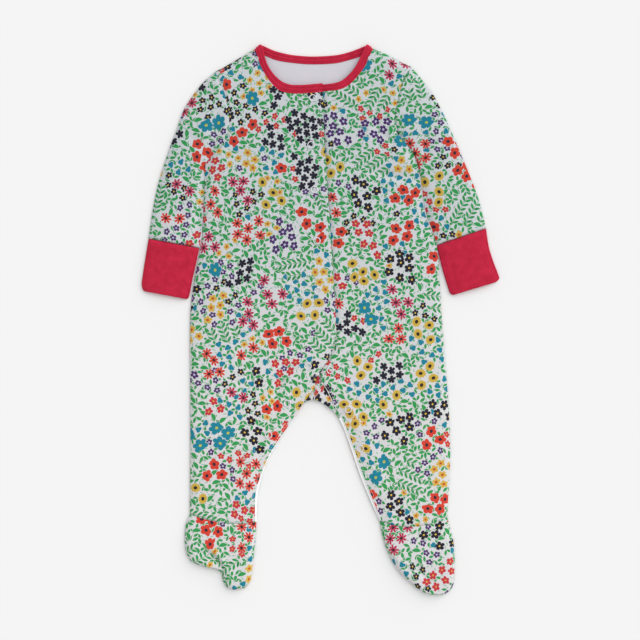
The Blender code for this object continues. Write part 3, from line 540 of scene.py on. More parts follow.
def stamp(tree, base, gap, colour):  # prints a motif whose outline is where gap is 0
    edge = printLook["edge"]
    halo = put(tree, "Math", (gap, -1 / edge, 0.5 + printLook["halo"] / edge), operation="MULTIPLY_ADD",
               use_clamp=True)
    ink = put(tree, "Math", (gap, -1 / edge, 0.5), operation="MULTIPLY_ADD", use_clamp=True)
    base = put(tree, "Mix", {0: halo, 6: base, 7: linear(printLook["ground"])}, out=2, data_type="RGBA")
    return put(tree, "Mix", {0: ink, 6: base, 7: colour}, out=2, data_type="RGBA")


def channel(tree, colour, number):
    return put(tree, "SeparateColor", (colour,), out=number)


def turned(tree, local, random, span=2 * math.pi):  # a cell's own coordinates, turned by its random number
    angle = put(tree, "Math", (random, span, -span / 2), operation="MULTIPLY_ADD")
    return put(tree, "VectorRotate", {"Vector": local, "Angle": angle}, rotation_type="Z_AXIS")


def leafGap(tree, u, v, length, width):  # below 0 inside a pointed leaf of that half length and half width
    bow = put(tree, "Math", (u, 1 / length), operation="MULTIPLY")
    bow = put(tree, "Math", (bow, bow), operation="MULTIPLY")
    bow = put(tree, "Math", (bow, width, -width), operation="MULTIPLY_ADD")
    side = put(tree, "Math", (v,), operation="ABSOLUTE")
    return put(tree, "Math", (side, bow), operation="ADD")


def pairGap(tree, u, v, back, lean, reach, length, width):  # two leaves that lean away from a stem along u
    u = put(tree, "Math", (u, back), operation="ADD")
    side = put(tree, "Math", (v,), operation="ABSOLUTE")
    c, s = math.cos(lean), math.sin(lean)
    along = put(tree, "Math", (u, c, -reach), operation="MULTIPLY_ADD")
    along = put(tree, "Math", (side, s, along), operation="MULTIPLY_ADD")
    aside = put(tree, "Math", (u, -s), operation="MULTIPLY")
    aside = put(tree, "Math", (side, c, aside), operation="MULTIPLY_ADD")
    return leafGap(tree, along, aside, length, width)


def kindOf(tree, random, kinds):  # the looks of the kind that a random number stands for
    ramps = [[], [], [], []]
    start = 0.0
    for share, petals, waist, roundness, radius, middle, spacing, stray, colour, middleColour in kinds:
        looks = (linear(colour), linear(middleColour), (petals / most["petals"], waist, roundness, 1.0),
                 (radius / most["radius"], middle / most["radius"], spacing / most["spacing"], 1.0 - stray))
        for ramp, look in zip(ramps, looks):
            ramp.append((start, look))
        start += share
    return [put(tree, "ValToRGB", (random,), stops=ramp) for ramp in ramps]


def flower(tree, local, three, colour, middleColour, shape, size):
    # Returns how far a flower's outline is, below 0 inside it, and its colour there.
    squash = turned(tree, local, channel(tree, three, 1))
    squash = put(tree, "VectorMath", (squash, printLook["squash"]), operation="MULTIPLY")
    distance = put(tree, "VectorMath", (squash,), out="Value", operation="LENGTH")
    u, v = put(tree, "SeparateXYZ", (squash,)), put(tree, "SeparateXYZ", (squash,), out=1)
    angle = put(tree, "Math", (v, u), operation="ARCTAN2")
    angle = put(tree, "Math", (channel(tree, three, 2), 2 * math.pi, angle), operation="MULTIPLY_ADD")
    half = put(tree, "Math", (channel(tree, shape, 0), most["petals"] / 2), operation="MULTIPLY")
    lobes = put(tree, "Math", (put(tree, "Math", (angle, half), operation="MULTIPLY"),), operation="COSINE")
    lobes = put(tree, "Math", (lobes,), operation="ABSOLUTE")
    lobes = put(tree, "Math", (lobes, channel(tree, shape, 2)), operation="POWER")
    waist = channel(tree, shape, 1)
    reach = put(tree, "Math", (1.0, waist), operation="SUBTRACT")
    reach = put(tree, "Math", (lobes, reach, waist), operation="MULTIPLY_ADD")
    radius = put(tree, "Math", (channel(tree, size, 0), most["radius"]), operation="MULTIPLY")
    reach = put(tree, "Math", (reach, radius), operation="MULTIPLY")
    gap = put(tree, "Math", (distance, reach), operation="SUBTRACT")
    middle = put(tree, "Math", (channel(tree, size, 1), -most["radius"], distance), operation="MULTIPLY_ADD")
    middle = put(tree, "Math", (middle, -1 / printLook["edge"], 0.5), operation="MULTIPLY_ADD",
                 use_clamp=True)
    fold = put(tree, "MapRange", {0: lobes, 1: 0.15, 2: 0.6, 3: 0.72, 4: 1.0})  # darker between the petals
    petal = put(tree, "VectorMath", {0: colour, 3: fold}, operation="SCALE")
    return gap, put(tree, "Mix", {0: middle, 6: petal, 7: middleColour}, out=2, data_type="RGBA")


def newGroup(name, outputs):
    group = bpy.data.node_groups.new(name, "ShaderNodeTree")
    group.interface.new_socket("Place", in_out="INPUT", socket_type="NodeSocketVector")
    for output, kind in outputs:
        group.interface.new_socket(output, in_out="OUTPUT", socket_type="NodeSocket" + kind)
    return group, group.nodes.new("NodeGroupInput").outputs[0], group.nodes.new("NodeGroupOutput").inputs


def patchGroup():  # the large motifs: how far their outline is, and their colour
    tree, place, results = newGroup("patches of flowers", (("Gap", "Float"), ("Colour", "Color")))
    size, fernLook = printLook["patchSize"], printLook["fern"]
    cells = {"Vector": place, "Scale": 1 / size, "Randomness": printLook["wander"]}
    patch = put(tree, "TexVoronoi", cells, out="Color", voronoi_dimensions="2D")
    middle = put(tree, "TexVoronoi", cells, out="Position", voronoi_dimensions="2D")
    colour, middleColour, shape, sizes = kindOf(tree, channel(tree, patch, 0), printLook["kinds"])
    strayed = sizes.node.outputs["Alpha"]
    away = put(tree, "VectorMath", (place, middle), operation="SUBTRACT")
    angle = put(tree, "Math", (channel(tree, patch, 1), 2 * math.pi), operation="MULTIPLY")
    spun = put(tree, "VectorRotate", {"Vector": away, "Angle": angle}, rotation_type="Z_AXIS")
    across = put(tree, "Math", (channel(tree, sizes, 2), most["spacing"]), operation="MULTIPLY")
    fern = put(tree, "Math", (channel(tree, sizes, 0), 0.01), operation="LESS_THAN")  # it has no radius
    ratio = printLook["rowRatio"]
    ratio = put(tree, "Math", (fern, fernLook["rowRatio"] - ratio, ratio), operation="MULTIPLY_ADD")
    up = put(tree, "Math", (across, ratio), operation="MULTIPLY")
    stray = put(tree, "Math", (1.0, strayed), operation="SUBTRACT")
    local, point, three = scatter(tree, spun, across, up, stray, patch)
    gap, ink = flower(tree, local, three, colour, middleColour, shape, sizes)
    # fern leaves: a pair and a piece of stem in each cell
    u, v = put(tree, "SeparateXYZ", (local,)), put(tree, "SeparateXYZ", (local,), out=1)
    ferns = pairGap(tree, u, v, *fernLook["pair"])
    stem = put(tree, "Math", (put(tree, "Math", (v,), operation="ABSOLUTE"), fernLook["stem"]),
               operation="SUBTRACT")
    ferns = put(tree, "Math", (ferns, stem), operation="MINIMUM")
    gap = put(tree, "Mix", {0: fern, 2: gap, 3: ferns}, data_type="FLOAT")
    # none where the motif would cross the patch's border
    point = put(tree, "VectorRotate", {"Vector": point, "Angle": angle}, rotation_type="Z_AXIS", invert=True)
    point = put(tree, "VectorMath", (point, middle), operation="ADD")
    border = put(tree, "TexVoronoi", {**cells, "Vector": point}, out="Distance", voronoi_dimensions="2D",
                 feature="DISTANCE_TO_EDGE")
    room = put(tree, "Math", (channel(tree, sizes, 0), *printLook["border"]), operation="MULTIPLY_ADD")
    room = put(tree, "Math", (fern, fernLook["border"], room), operation="MULTIPLY_ADD")
    crossing = put(tree, "Math", (put(tree, "Math", (border, size), operation="MULTIPLY"), room),
                   operation="LESS_THAN")
    tree.links.new(put(tree, "Math", (crossing, nowhere, gap), operation="MULTIPLY_ADD"), results[0])
    tree.links.new(ink, results[1])
    return tree


def addPrint(tree, place):
    patches = patchGroup()
    leaf, pale = linear(printLook["leaf"]), linear(printLook["paleLeaf"])
    strokes, sprouts, singles = (printLook[name] for name in ("strokes", "sprouts", "singles"))

    def crowded(gap, point, room):  # no print where a motif at the point would touch the large ones
        large = put(tree, "Group", (point,), node_tree=patches)
        close = put(tree, "Math", (large, room), operation="LESS_THAN")
        close = put(tree, "Math", (close, nowhere), operation="MULTIPLY")
        return put(tree, "Math", (gap, close), operation="ADD")

    def sparse(gap, three, absent):  # and none in that share of the cells
        absent = put(tree, "Math", (channel(tree, three, 1), absent), operation="LESS_THAN")
        return put(tree, "Math", (absent, nowhere, gap), operation="MULTIPLY_ADD")

    def cellsOf(look):
        seed, lean = look["seed"], look["lean"]
        leaning = put(tree, "VectorRotate", {"Vector": place, "Angle": lean}, rotation_type="Z_AXIS")
        local, point, three = scatter(tree, leaning, *look["cell"], (seed, 2.3 * seed, 0.5))
        point = put(tree, "VectorRotate", {"Vector": point, "Angle": -lean}, rotation_type="Z_AXIS")
        spun = turned(tree, local, channel(tree, three, 0))
        u, v = put(tree, "SeparateXYZ", (spun,)), put(tree, "SeparateXYZ", (spun,), out=1)
        return local, point, three, u, v

    # pale strokes
    local, point, three, u, v = cellsOf(strokes)
    gap = sparse(leafGap(tree, u, v, *strokes["leaf"]), three, strokes["absent"])
    base = stamp(tree, linear(printLook["ground"]), gap, pale)
    # sprouts of two narrow leaves
    local, point, three, u, v = cellsOf(sprouts)
    gap = sparse(pairGap(tree, u, v, *sprouts["pair"]), three, sprouts["absent"])
    base = stamp(tree, base, crowded(gap, point, sprouts["room"]), leaf)
    # single leaves, sprigs and small flowers, one to a cell
    local, point, three, u, v = cellsOf(singles)
    sprig = pairGap(tree, u, v, *singles["pair"])
    lying = turned(tree, local, channel(tree, three, 0), singles["turn"])
    u, v = put(tree, "SeparateXYZ", (lying,)), put(tree, "SeparateXYZ", (lying,), out=1)
    curved = put(tree, "Math", (u, u), operation="MULTIPLY")
    curved = put(tree, "Math", (curved, singles["curve"], v), operation="MULTIPLY_ADD")
    single = leafGap(tree, u, curved, *singles["leaf"])
    isSprig = put(tree, "Math", (channel(tree, three, 1), singles["leaves"]), operation="GREATER_THAN")
    gap = put(tree, "Mix", {0: isSprig, 2: single, 3: sprig}, data_type="FLOAT")
    near = put(tree, "TexVoronoi", {"Vector": point, "Scale": 1 / singles["patchSize"], "Randomness": 1.0},
               out="Color", voronoi_dimensions="2D")
    bloom, ink = flower(tree, local, three, *kindOf(tree, channel(tree, near, 1), printLook["smallKinds"]))
    isBloom = put(tree, "Math", (channel(tree, near, 0), singles["leafy"]), operation="GREATER_THAN")
    gap = put(tree, "Mix", {0: isBloom, 2: gap, 3: bloom}, data_type="FLOAT")
    ink = put(tree, "Mix", {0: isBloom, 6: leaf, 7: ink}, out=2, data_type="RGBA")
    base = stamp(tree, base, crowded(gap, point, singles["room"]), ink)
    # large motifs
    large = put(tree, "Group", (place,), node_tree=patches)
    return stamp(tree, base, large, large.node.outputs[1])


def printedInterlock():
    # Cotton interlock, screen printed: matt and soft, a close fine knit, small flowers on a cool off-white
    material, tree, shader = newMaterial("printed cotton interlock", {
        "Roughness": 0.9, "Specular IOR Level": 0.12, "Sheen Weight": 0.03, "Sheen Roughness": 0.5})
    place = clothPlace(tree)
    fuzz = knitRelief(tree, shader, place, "interlock")[0]
    base = addPrint(tree, place)
    worn = put(tree, "MapRange", {0: fuzz, 1: 0.3, 2: 0.7, 3: 0.0, 4: printLook["worn"]})
    base = put(tree, "Mix", {0: worn, 6: base, 7: linear(printLook["ground"])}, out=2, data_type="RGBA")
    # painted shade: a touch greyer and cooler towards the shoulders and lighter at the feet, standing in for
    # the way the light falls off over the suit
    spot = tree.nodes.new("ShaderNodeTexCoord").outputs["Object"]
    height = put(tree, "SeparateXYZ", (spot,), out=1)
    low, high = printLook["paintedShade"]
    feet, shoulders = printLook["paintedShadeSpan"]
    # painted shade: how far along the painted gradient from the feet to the shoulders this point lies
    paintedShade = put(tree, "MapRange", {0: height, 1: feet, 2: shoulders, 3: 0.0, 4: 1.0},
               interpolation_type="SMOOTHSTEP")
    paintedShade = put(tree, "Mix", {0: paintedShade, 6: low, 7: high}, out=2, data_type="RGBA")
    base = put(tree, "Mix", {0: 1.0, 6: base, 7: paintedShade}, out=2, data_type="RGBA", blend_type="MULTIPLY")
    tree.links.new(base, shader.inputs["Base Color"])
    return material


def plainReverse():
    # The unprinted back of the interlock: plain cool white, a little uneven
    material, tree, shader = newMaterial("unprinted interlock reverse", {
        "Roughness": 0.92, "Specular IOR Level": 0.12, "Sheen Weight": 0.03, "Sheen Roughness": 0.5})
    fuzz = knitRelief(tree, shader, clothPlace(tree), "interlock")[0]
    tinted(tree, shader, fuzz, "#C9C7CE", "#D3D1D8")
    return material


def whiteTape():
    # The white cotton tape that faces the popper edges, seen where it peeps out along the inner legs
    material, tree, shader = newMaterial("white cotton facing tape", {
        "Roughness": 0.9, "Specular IOR Level": 0.12})
    fuzz = knitRelief(tree, shader, clothPlace(tree), "tape")[0]
    tinted(tree, shader, fuzz, "#F2F2F4", "#FBFBFC")
    return material


ribLook = {
    "deep": "#A81932",
    "bright": "#C92745",
    "patches": 0.12,     # to a millimetre
    "fuzz": 0.5,         # how much each of them shows beside the patches
    # painted shade: how much the colour darkens in the furrows between the ribs
    "paintedFurrowShade": 0.16,
}


def cottonRib(name, knit):
    # Dyed cotton rib: fine upright ribs, matt, with painted shade that darkens the colour in the furrows
    material, tree, shader = newMaterial(name, {
        "Roughness": 0.85, "Specular IOR Level": 0.15, "Sheen Weight": 0.05, "Sheen Roughness": 0.45})
    place = clothPlace(tree)
    fuzz, columns = knitRelief(tree, shader, place, knit)
    patchy = put(tree, "TexNoise", {"Vector": place, "Scale": ribLook["patches"], "Detail": 3.0},
                 noise_dimensions="2D")
    mixed = put(tree, "Math", (fuzz, ribLook["fuzz"], patchy), operation="MULTIPLY_ADD")
    # painted shade: the colour darkens along the furrows, on top of the dye's random patches
    mixed = put(tree, "Math", (columns, ribLook["paintedFurrowShade"], mixed), operation="MULTIPLY_ADD")
    shade = put(tree, "MapRange", {0: mixed, 1: 0.3, 2: 1.2, 3: 0.0, 4: 1.0})
    tinted(tree, shader, shade, ribLook["deep"], ribLook["bright"])
    return material


threadTwist = 0.4  # mm from one turn to the next
# painted highlight: how much lighter the thread's colour is made where it shines
paintedThreadShine = 1.25
enamelMottles = 0.9  # to a millimetre


def sewingThread(name, colour):
    # Spun polyester thread: a slight gloss, and a painted highlight that lightens the colour along the twist
    material, tree, shader = newMaterial(name, {"Roughness": 0.55, "Specular IOR Level": 0.4})
    place = tree.nodes.new("ShaderNodeTexCoord").outputs["Object"]
    twist = put(tree, "TexNoise", {"Vector": place, "Scale": 1 / (threadTwist * mm), "Detail": 1.0})
    # painted highlight: a lighter copy of the thread's colour, mixed in along the twist
    paintedShineColour = [min(1.0, paintedThreadShine * c) for c in linear(colour)[:3]] + [1.0]
    base = put(tree, "Mix", {0: twist, 6: linear(colour), 7: paintedShineColour}, out=2, data_type="RGBA")
    tree.links.new(base, shader.inputs["Base Color"])
    return material


def whiteEnamel():
    # Baked enamel on a brass ring popper: smooth white with a soft gloss
    material, tree, shader = newMaterial("white baked enamel", {
        "Roughness": 0.32, "Coat Weight": 0.3, "Coat Roughness": 0.15})
    place = tree.nodes.new("ShaderNodeTexCoord").outputs["Object"]
    mottle = put(tree, "TexNoise", {"Vector": place, "Scale": enamelMottles / mm, "Detail": 2.0})
    tinted(tree, shader, mottle, "#D6D6DA", "#E2E2E6")
    return material


printed = printedInterlock()
reverse = plainReverse()
tape = whiteTape()
rib = cottonRib("raspberry cotton rib", "cuffRib")
bindingRib = cottonRib("raspberry cotton rib, cut across", "bindingRib")
redThread = sewingThread("raspberry thread", "#8E1A30")
whiteThread = sewingThread("white thread", "#DDDDE4")
enamel = whiteEnamel()
print("materials made")


# Making pieces

mergeDistance = 0.00001
sharpFrom = 50.0  # degrees


def addSheet(mesh, points, place):
    # points and place are grids: rows run down the sheet, columns across it
    rows, columns = points.shape[:2]
    coordinates = mesh.loops.layers.uv.get("cloth") or mesh.loops.layers.uv.new("cloth")
    made = bmesh.ops.create_grid(mesh, x_segments=columns - 1, y_segments=rows - 1, size=1.0)
    where = {}
    for vertex in made["verts"]:
        j = round((vertex.co.x + 1) / 2 * (columns - 1))
        i = round((1 - vertex.co.y) / 2 * (rows - 1))
        vertex.co = Vector(points[i, j]) * mm
        where[vertex] = Vector(place[i, j]) * mm
    for vertex in made["verts"]:
        for loop in vertex.link_loops:
            loop[coordinates].uv = where[vertex]


def whiteHem(mesh, line, width, start):  # shows the unprinted side on faces next to a line, below a height
    for face in mesh.faces:
        x, y = face.calc_center_median().xy / mm
        if y < start and abs(x - np.interp(y, line[:, 1], line[:, 0])) < width:
            face.material_index = 2


def finishPiece(mesh, name, materials, nodes, wall=None, merge=True):
    if merge:
        bmesh.ops.remove_doubles(mesh, verts=mesh.verts, dist=mergeDistance)
    data = bpy.data.meshes.new(name)
    mesh.to_mesh(data)
    mesh.free()
    for material in materials:
        data.materials.append(material)
    data.shade_smooth()
    data.set_sharp_from_angle(angle=math.radians(sharpFrom))
    piece = bpy.data.objects.new(name, data)
    bpy.context.scene.collection.objects.link(piece)
    if wall:
        shell = piece.modifiers.new("wall", "SOLIDIFY")
        shell.thickness = wall * mm
        shell.offset = -1
        shell.material_offset = min(1, len(materials) - 1)
        shell.use_rim = True
    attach(piece, "root")
    if nodes:
        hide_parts(*nodes)
    return piece


def placed(place, turn, across, up):  # turns and moves cloth coordinates, so that a piece's print is its own
    c, s = math.cos(math.radians(turn)), math.sin(math.radians(turn))
    u, v = place[..., 0], place[..., 1]
    return np.stack([u * c - v * s + across, u * s + v * c + up], axis=2)


# Body

body = {
    "rows": (26, 92, 50),        # along the armhole, the side and the leg
    "shoulderColumns": 12,
    "neckColumns": 44,
    "topFade": 110.0,
    "bowRight": 4.5,             # dip of the ankle seams
    "bowLeft": 8.0,
    "sewnGap": 0.4,
    "lapRound": 1.7,             # radius of the folded lap edge
    "lapDrop": 0.9,
    "lapLift": (1.2, 6.0, -62.0, 10.0),  # at its lower end: height, width, middle and length
    "placket": (0.3, 17.0, 3.0),         # height, width and the width of its step
    "underlap": 20.0,
    "underlapFade": 70.0,        # the way up from the crotch in which it grows to that
    "crotchTop": -68.3,
    "crotchAside": (6.6, 14.0),  # how far aside the left front starts, and how soon it is back
    "lapStep": (1.3, 0.5, 4.0),  # down to the left front's edge: height, start and width
    "lapStepFade": (-100.0, 40.0),       # where it starts along the leg, and over what length
    "groove": (0.9, 1.2, 6.0),   # beside the lap: depth, width and the length in which it starts
    "legEdgeDrop": 2.1,          # how much lower the fronts are along the leg openings
    "legEdgeWidth": (16.0, 15.0),
    "legEdgeTop": -70.0,
    "legEdgeFade": 25.0,
    "seamDitches": (1.0, 0.8, 0.35),     # at the armholes, shoulders and ankles
    "sleeveEnd": (78.0, 30.0),   # where the sides leave the sleeves, and how soon
    "sagStart": (8.0, 30.0),     # above the underarm, and over what length
    "neckCentre": -7.5,          # where the halves of the back meet at the neck
    "hemRight": (0.5, -100.0),   # width of the white edge along the inner leg, and where it starts
    "hemLeft": (0.8, -67.0),
    "printRight": (0.0, 20.0, 35.0),     # turn and shift of each panel's print
    "printLeft": (0.0, 410.0, 180.0),
    "printBack": (0.0, 800.0, -60.0),
    "flatFront": (0.163, 0.516, 0.0605),  # width, length and area of the cut
    "flatBack": (0.284, 0.52, 0.117),
}

poppers = [
    # x, y, which front
    (-7.8, 240.8, "right"), (-9.8, 189.9, "right"), (-6.0, 141.4, "right"), (-3.3, 85.8, "right"),
    (-2.2, 31.3, "right"), (-13.1, -50.4, "right"), (11.2, -54.8, "left"), (-35.4, -90.7, "right"),
    (-55.9, -125.2, "right"), (30.5, -97.3, "left"), (43.6, -139.8, "left"),
]

lapLine = np.vstack([smoothLine(outline[k]) for k in ("lapTop", "lapBody", "frontLegRight")])[::-1]
leftLine = np.vstack([smoothLine(outline[k]) for k in ("lapTop", "lapBody", "frontLegLeft")])[::-1]


pull = {
    "dimple": 0.3,
    "dimpleWidth": 5.0,
    "spokes": 5,         # small creases that run out from the popper
    "spokeDepth": 0.1,
    "spokeAt": 6.5,
    "spokeLength": 2.6,
}


def popperDimple(x, y):  # each popper pulls the cloth in round it
    total = np.zeros_like(x)
    for px, py, front in poppers:
        away = np.hypot(x - px, y - py)
        spokes = np.cos(pull["spokes"] * np.arctan2(y - py, x - px) + px)
        spokes = spokes * np.exp(-(((away - pull["spokeAt"]) / pull["spokeLength"]) ** 2))
        total += pull["dimple"] * np.exp(-((away / pull["dimpleWidth"]) ** 2)) + pull["spokeDepth"] * spokes
    return total


def legEdge(inside, y, width):  # 1 at the edge of a leg opening, 0 away from it
    return (1 - ease(inside / width)) * ease((body["legEdgeTop"] - y) / body["legEdgeFade"])


def rightHeight(x, y):
    inside = np.interp(y, lapLine[:, 1], lapLine[:, 0]) - x
    edge = body["legEdgeDrop"] * legEdge(inside, y, body["legEdgeWidth"][0])
    high, width, step = body["placket"]
    placket = high * (1 - ease((inside - width) / step))
    high, width, middle, length = body["lapLift"]
    lifted = high * np.exp(-((inside / width) ** 2) - ((y - middle) / length) ** 2)
    return upperHeight(x, y) - popperDimple(x, y) - edge + placket + lifted


def leftHeight(x, y):
    inside = x - np.interp(y, leftLine[:, 1], leftLine[:, 0])
    edge = body["legEdgeDrop"] * legEdge(inside, y, body["legEdgeWidth"][1])
    down, start, width = body["lapStep"]
    lowest, fade = body["lapStepFade"]
    under = down * (1 - ease((inside - start) / width)) * ease((y - lowest) / fade)
    deep, width, fade = body["groove"]
    groove = deep * np.exp(-((inside / width) ** 2)) * ease((y - body["legEdgeTop"]) / fade)
    return upperHeight(x, y) - popperDimple(x, y) - under - edge - groove


def bodyRows(*names, reach=lay["roll"]):
    return chain([outline[n] if isinstance(n, str) else n for n in names], body["rows"], reach)


def neckTop(shoulder, neck):  # shoulder, the step to the neck point, and the neckline
    curves = (shoulder, (shoulder[-1], neck[0]), neck)
    return chain(curves, (body["shoulderColumns"], 2, body["neckColumns"] - 2), lay["roll"])


def besideSleeve(y):  # 1 where the body's side lies against a sleeve
    end, fade = body["sleeveEnd"]
    return ease((y - end) / fade)


def sheetOfBody(left, right, top, sideIsLeft, bow, height, seam, lapRound=0.0):
    # Half of the body's grid between two lines, and its heights: an upper layer, or the flat lower one where
    # no height is given. Both roll to the seam at the side, the armhole and the shoulder.
    columns = body["shoulderColumns"] + body["neckColumns"]
    reachLeft, reachRight = (lay["roll"], lapRound) if sideIsLeft else (lapRound, lay["roll"])
    grid = planOf(left, right, columns, reachLeft, reachRight, top, body["topFade"], bow)
    rows, width = grid.shape[:2]
    leftTurn, rightTurn = turns(columns, reachLeft, reachRight)
    topTurn = turns(sum(body["rows"]), lay["roll"], 0)[0]
    sideTurn, lapTurn = (leftTurn, rightTurn) if sideIsLeft else (rightTurn, leftTurn)
    # 1 in the rows below the armhole, and in the columns of the shoulder
    below = (np.arange(rows) >= body["rows"][0] + rollSteps).astype(float)
    on = (np.arange(width) <= body["shoulderColumns"] + rollSteps).astype(float)
    on = on if sideIsLeft else on[::-1]
    left, right, up, down = edgeGaps(grid)
    side = left if sideIsLeft else right
    x, y = grid[..., 0], grid[..., 1]
    sideLift = rounded(sideTurn[None, :], below[:, None])
    if sideIsLeft:  # a fuller edge where the right side leans over its sleeve
        fuller = besideSleeve(y) * below[:, None]
        sideLift = sideLift + (np.sin(sideTurn)[None, :] ** lay["full"] - sideLift) * fuller
    lift = sideLift * rounded(topTurn[:, None], on[None, :])
    if height is None:
        return grid, seam * (1 - lift)
    armholeDitch, shoulderDitch, ankleDitch = body["seamDitches"]
    z = height(x, y) - armholeDitch * seamDitch(side, y, 2.2) * (1 - below[:, None])
    share = (lay["high"] if sideIsLeft else lay["low"]) - 1
    sag = sagNear(side) * (1 + share * besideSleeve(y))
    above, fade = body["sagStart"]
    z = z - sag * ease((outline["armholeRight"][-1][1] + above - y) / fade)
    z = z - seamDitch(up, x, 3.1) * (1 - on[None, :]) * shoulderDitch
    z = z - ankleDitch * seamDitch(down, x, 4.4)
    z = seam + (np.maximum(z, lay["least"]) - seam) * lift
    return grid, z - body["lapDrop"] * (1 - np.sin(lapTurn))[None, :]


def asPoints(grid, z):
    return np.concatenate([grid, z[..., None]], axis=2)


def underLap(name):  # the left front's edge, hidden beneath the lap
    line = smoothLine(outline[name])
    above = line[:, 1] - body["crotchTop"]
    aside, fade = body["crotchAside"]
    line[:, 0] += aside * (1 - ease(above / fade)) - body["underlap"] * ease(above / body["underlapFade"])
    return line


def topLine(shoulder, neck):  # the top of a front, with the rounded lap edge's columns
    line = neckTop(shoulder, neck)
    run = distances(line)
    wanted = run[: body["shoulderColumns"] + len(rollAngles)]
    rest = stops(run[-1] - wanted[-1], body["neckColumns"], 0, body["lapRound"])
    return pointsAt(line, np.concatenate([wanted[:-1], wanted[-1] + rest]))


def makeFronts():
    seam = lay["seam"] + lay["seamGap"] / 2
    materials = [printed, reverse, tape]

    side = bodyRows("armholeRight", "sideRight", "legSideRight")
    lap = bodyRows("lapTop", "lapBody", "frontLegRight")
    top = topLine(outline["shoulderRight"], shifted(outline["sewnFrontRight"], body["sewnGap"]))
    grid, z = sheetOfBody(side, lap, top, True, body["bowRight"], rightHeight, seam, body["lapRound"])
    points = asPoints(grid, z)
    mesh = bmesh.new()
    addSheet(mesh, points, placed(clothMap(points), *body["printRight"]))
    whiteHem(mesh, lapLine, *body["hemRight"])
    right = finishPiece(mesh, "right_front", materials, ["front_panel_right"], lay["cloth"])

    side = bodyRows("armholeLeft", "sideLeft", "legSideLeft")
    lap = bodyRows(underLap("lapTop"), underLap("lapBody"), "frontLegLeft")
    top = topLine(outline["shoulderLeft"], shifted(outline["sewnFrontLeft"], -body["sewnGap"]))[::-1]
    grid, z = sheetOfBody(lap, side, top, False, body["bowLeft"], leftHeight, seam, body["lapRound"])
    points = asPoints(grid, z)
    mesh = bmesh.new()
    addSheet(mesh, points, placed(clothMap(points), *body["printLeft"]))
    whiteHem(mesh, leftLine, *body["hemLeft"])
    left = finishPiece(mesh, "left_front", materials, ["front_panel_left"], lay["cloth"])


def makeBack():
    seam = lay["seam"] - lay["seamGap"] / 2
    neck = shifted(outline["sewnBack"], body["sewnGap"])
    centre = int(np.argmin(abs(neck[:, 0] - body["neckCentre"])))
    centreTop = (neck[centre], outline["centreBody"][0])
    mesh = bmesh.new()
    for side, top in (("Right", neckTop(outline["shoulderRight"], neck[: centre + 1])),
                      ("Left", neckTop(outline["shoulderLeft"], neck[: centre - 1: -1])[::-1])):
        edge = bodyRows("armhole" + side, "side" + side, "legSide" + side)
        middle = bodyRows(centreTop, "centreBody", "crotch" + side)
        isRight = side == "Right"
        ends = (edge, middle) if isRight else (middle, edge)
        grid, z = sheetOfBody(*ends, top, isRight, body["bow" + side], None, seam)
        points = asPoints(grid, z)[:, ::-1]
        addSheet(mesh, points, placed(clothMap(points), *body["printBack"]))
    piece = finishPiece(mesh, "back", [printed, reverse], ["back_panel"], lay["cloth"])


makeFronts()
makeBack()
print("body made")


# Sleeves and cuffs

sleeve = {
    "rows": 64,
    "columns": 26,
    "armholeFade": 70.0,     # how far its rows follow the armhole, at the shoulder and at the underarm
    "underarmFade": 5.0,
    "sagFade": 30.0,
    "cuffRidge": (0.35, 3.0, 3.0),   # above the cuff's seam: height, distance and width
    "cuffDitch": (0.9, 1.0),         # at it: depth and width
    "cuffPucker": (0.22, 7.0, 2.6, 7.0),  # height, size, seed and reach
    "flat": (0.2, 0.19, 0.0181),         # round the upper arm, along the sleeve, and the area
    "printRight": (22.0, 1200.0, 300.0),
    "printLeft": (-24.0, 1500.0, -200.0),
}

cuff = {
    "rows": 26,
    "columns": 26,
    "wall": 1.9,
    "lower": 0.12,       # than the sleeve
    "uneven": ((0.2, 15.0, 1.1), (0.15, 24.0, 2.2)),  # height, size and seed: round the arm, and all over
    "flatter": (0.9, 30.0),      # towards the wrist
    "sag": 0.7,          # beside the sides, as a share of the sleeve's
    "seamDitch": (1.0, 2.2),
    "pucker": (0.3, 8.0, 3.7, 9.0),  # height, size, seed and reach
    "edgeRound": 1.6,
    "edgeDrop": 0.7,
    "flat": (0.112, 0.062, 0.0066),
}


def tubeGrid(out, inner, rows, columns, top, topFade, reachBottom=0.0):
    left = chain([out], [rows], 0, reachBottom)
    right = chain([inner], [rows], 0, reachBottom)
    return planOf(left, right, columns, lay["roll"], lay["roll"], top, topFade)


def addTube(mesh, grid, upper, turn):
    # Upper and lower face of a flattened tube. They meet in its two rolled sides.
    leftTurn, rightTurn = turns(grid.shape[1] - 1 - 2 * rollSteps, lay["roll"], lay["roll"])
    lift = (rounded(leftTurn, 1.0) * rounded(rightTurn, 1.0))[None, :]
    seam = lay["seam"]
    above = asPoints(grid, seam + (np.maximum(upper, lay["least"]) - seam) * lift)
    below = asPoints(grid, seam * (1 - lift) * np.ones(upper.shape))
    place, under = clothMap(above), clothMap(below)
    fold = place[:, :1, 0]  # the print runs on round the fold
    under[..., 0] = 2 * fold - (under[..., 0] - under[:, :1, 0] + fold)
    addSheet(mesh, above, placed(place, *turn))
    addSheet(mesh, below[:, ::-1], placed(under, *turn)[:, ::-1])


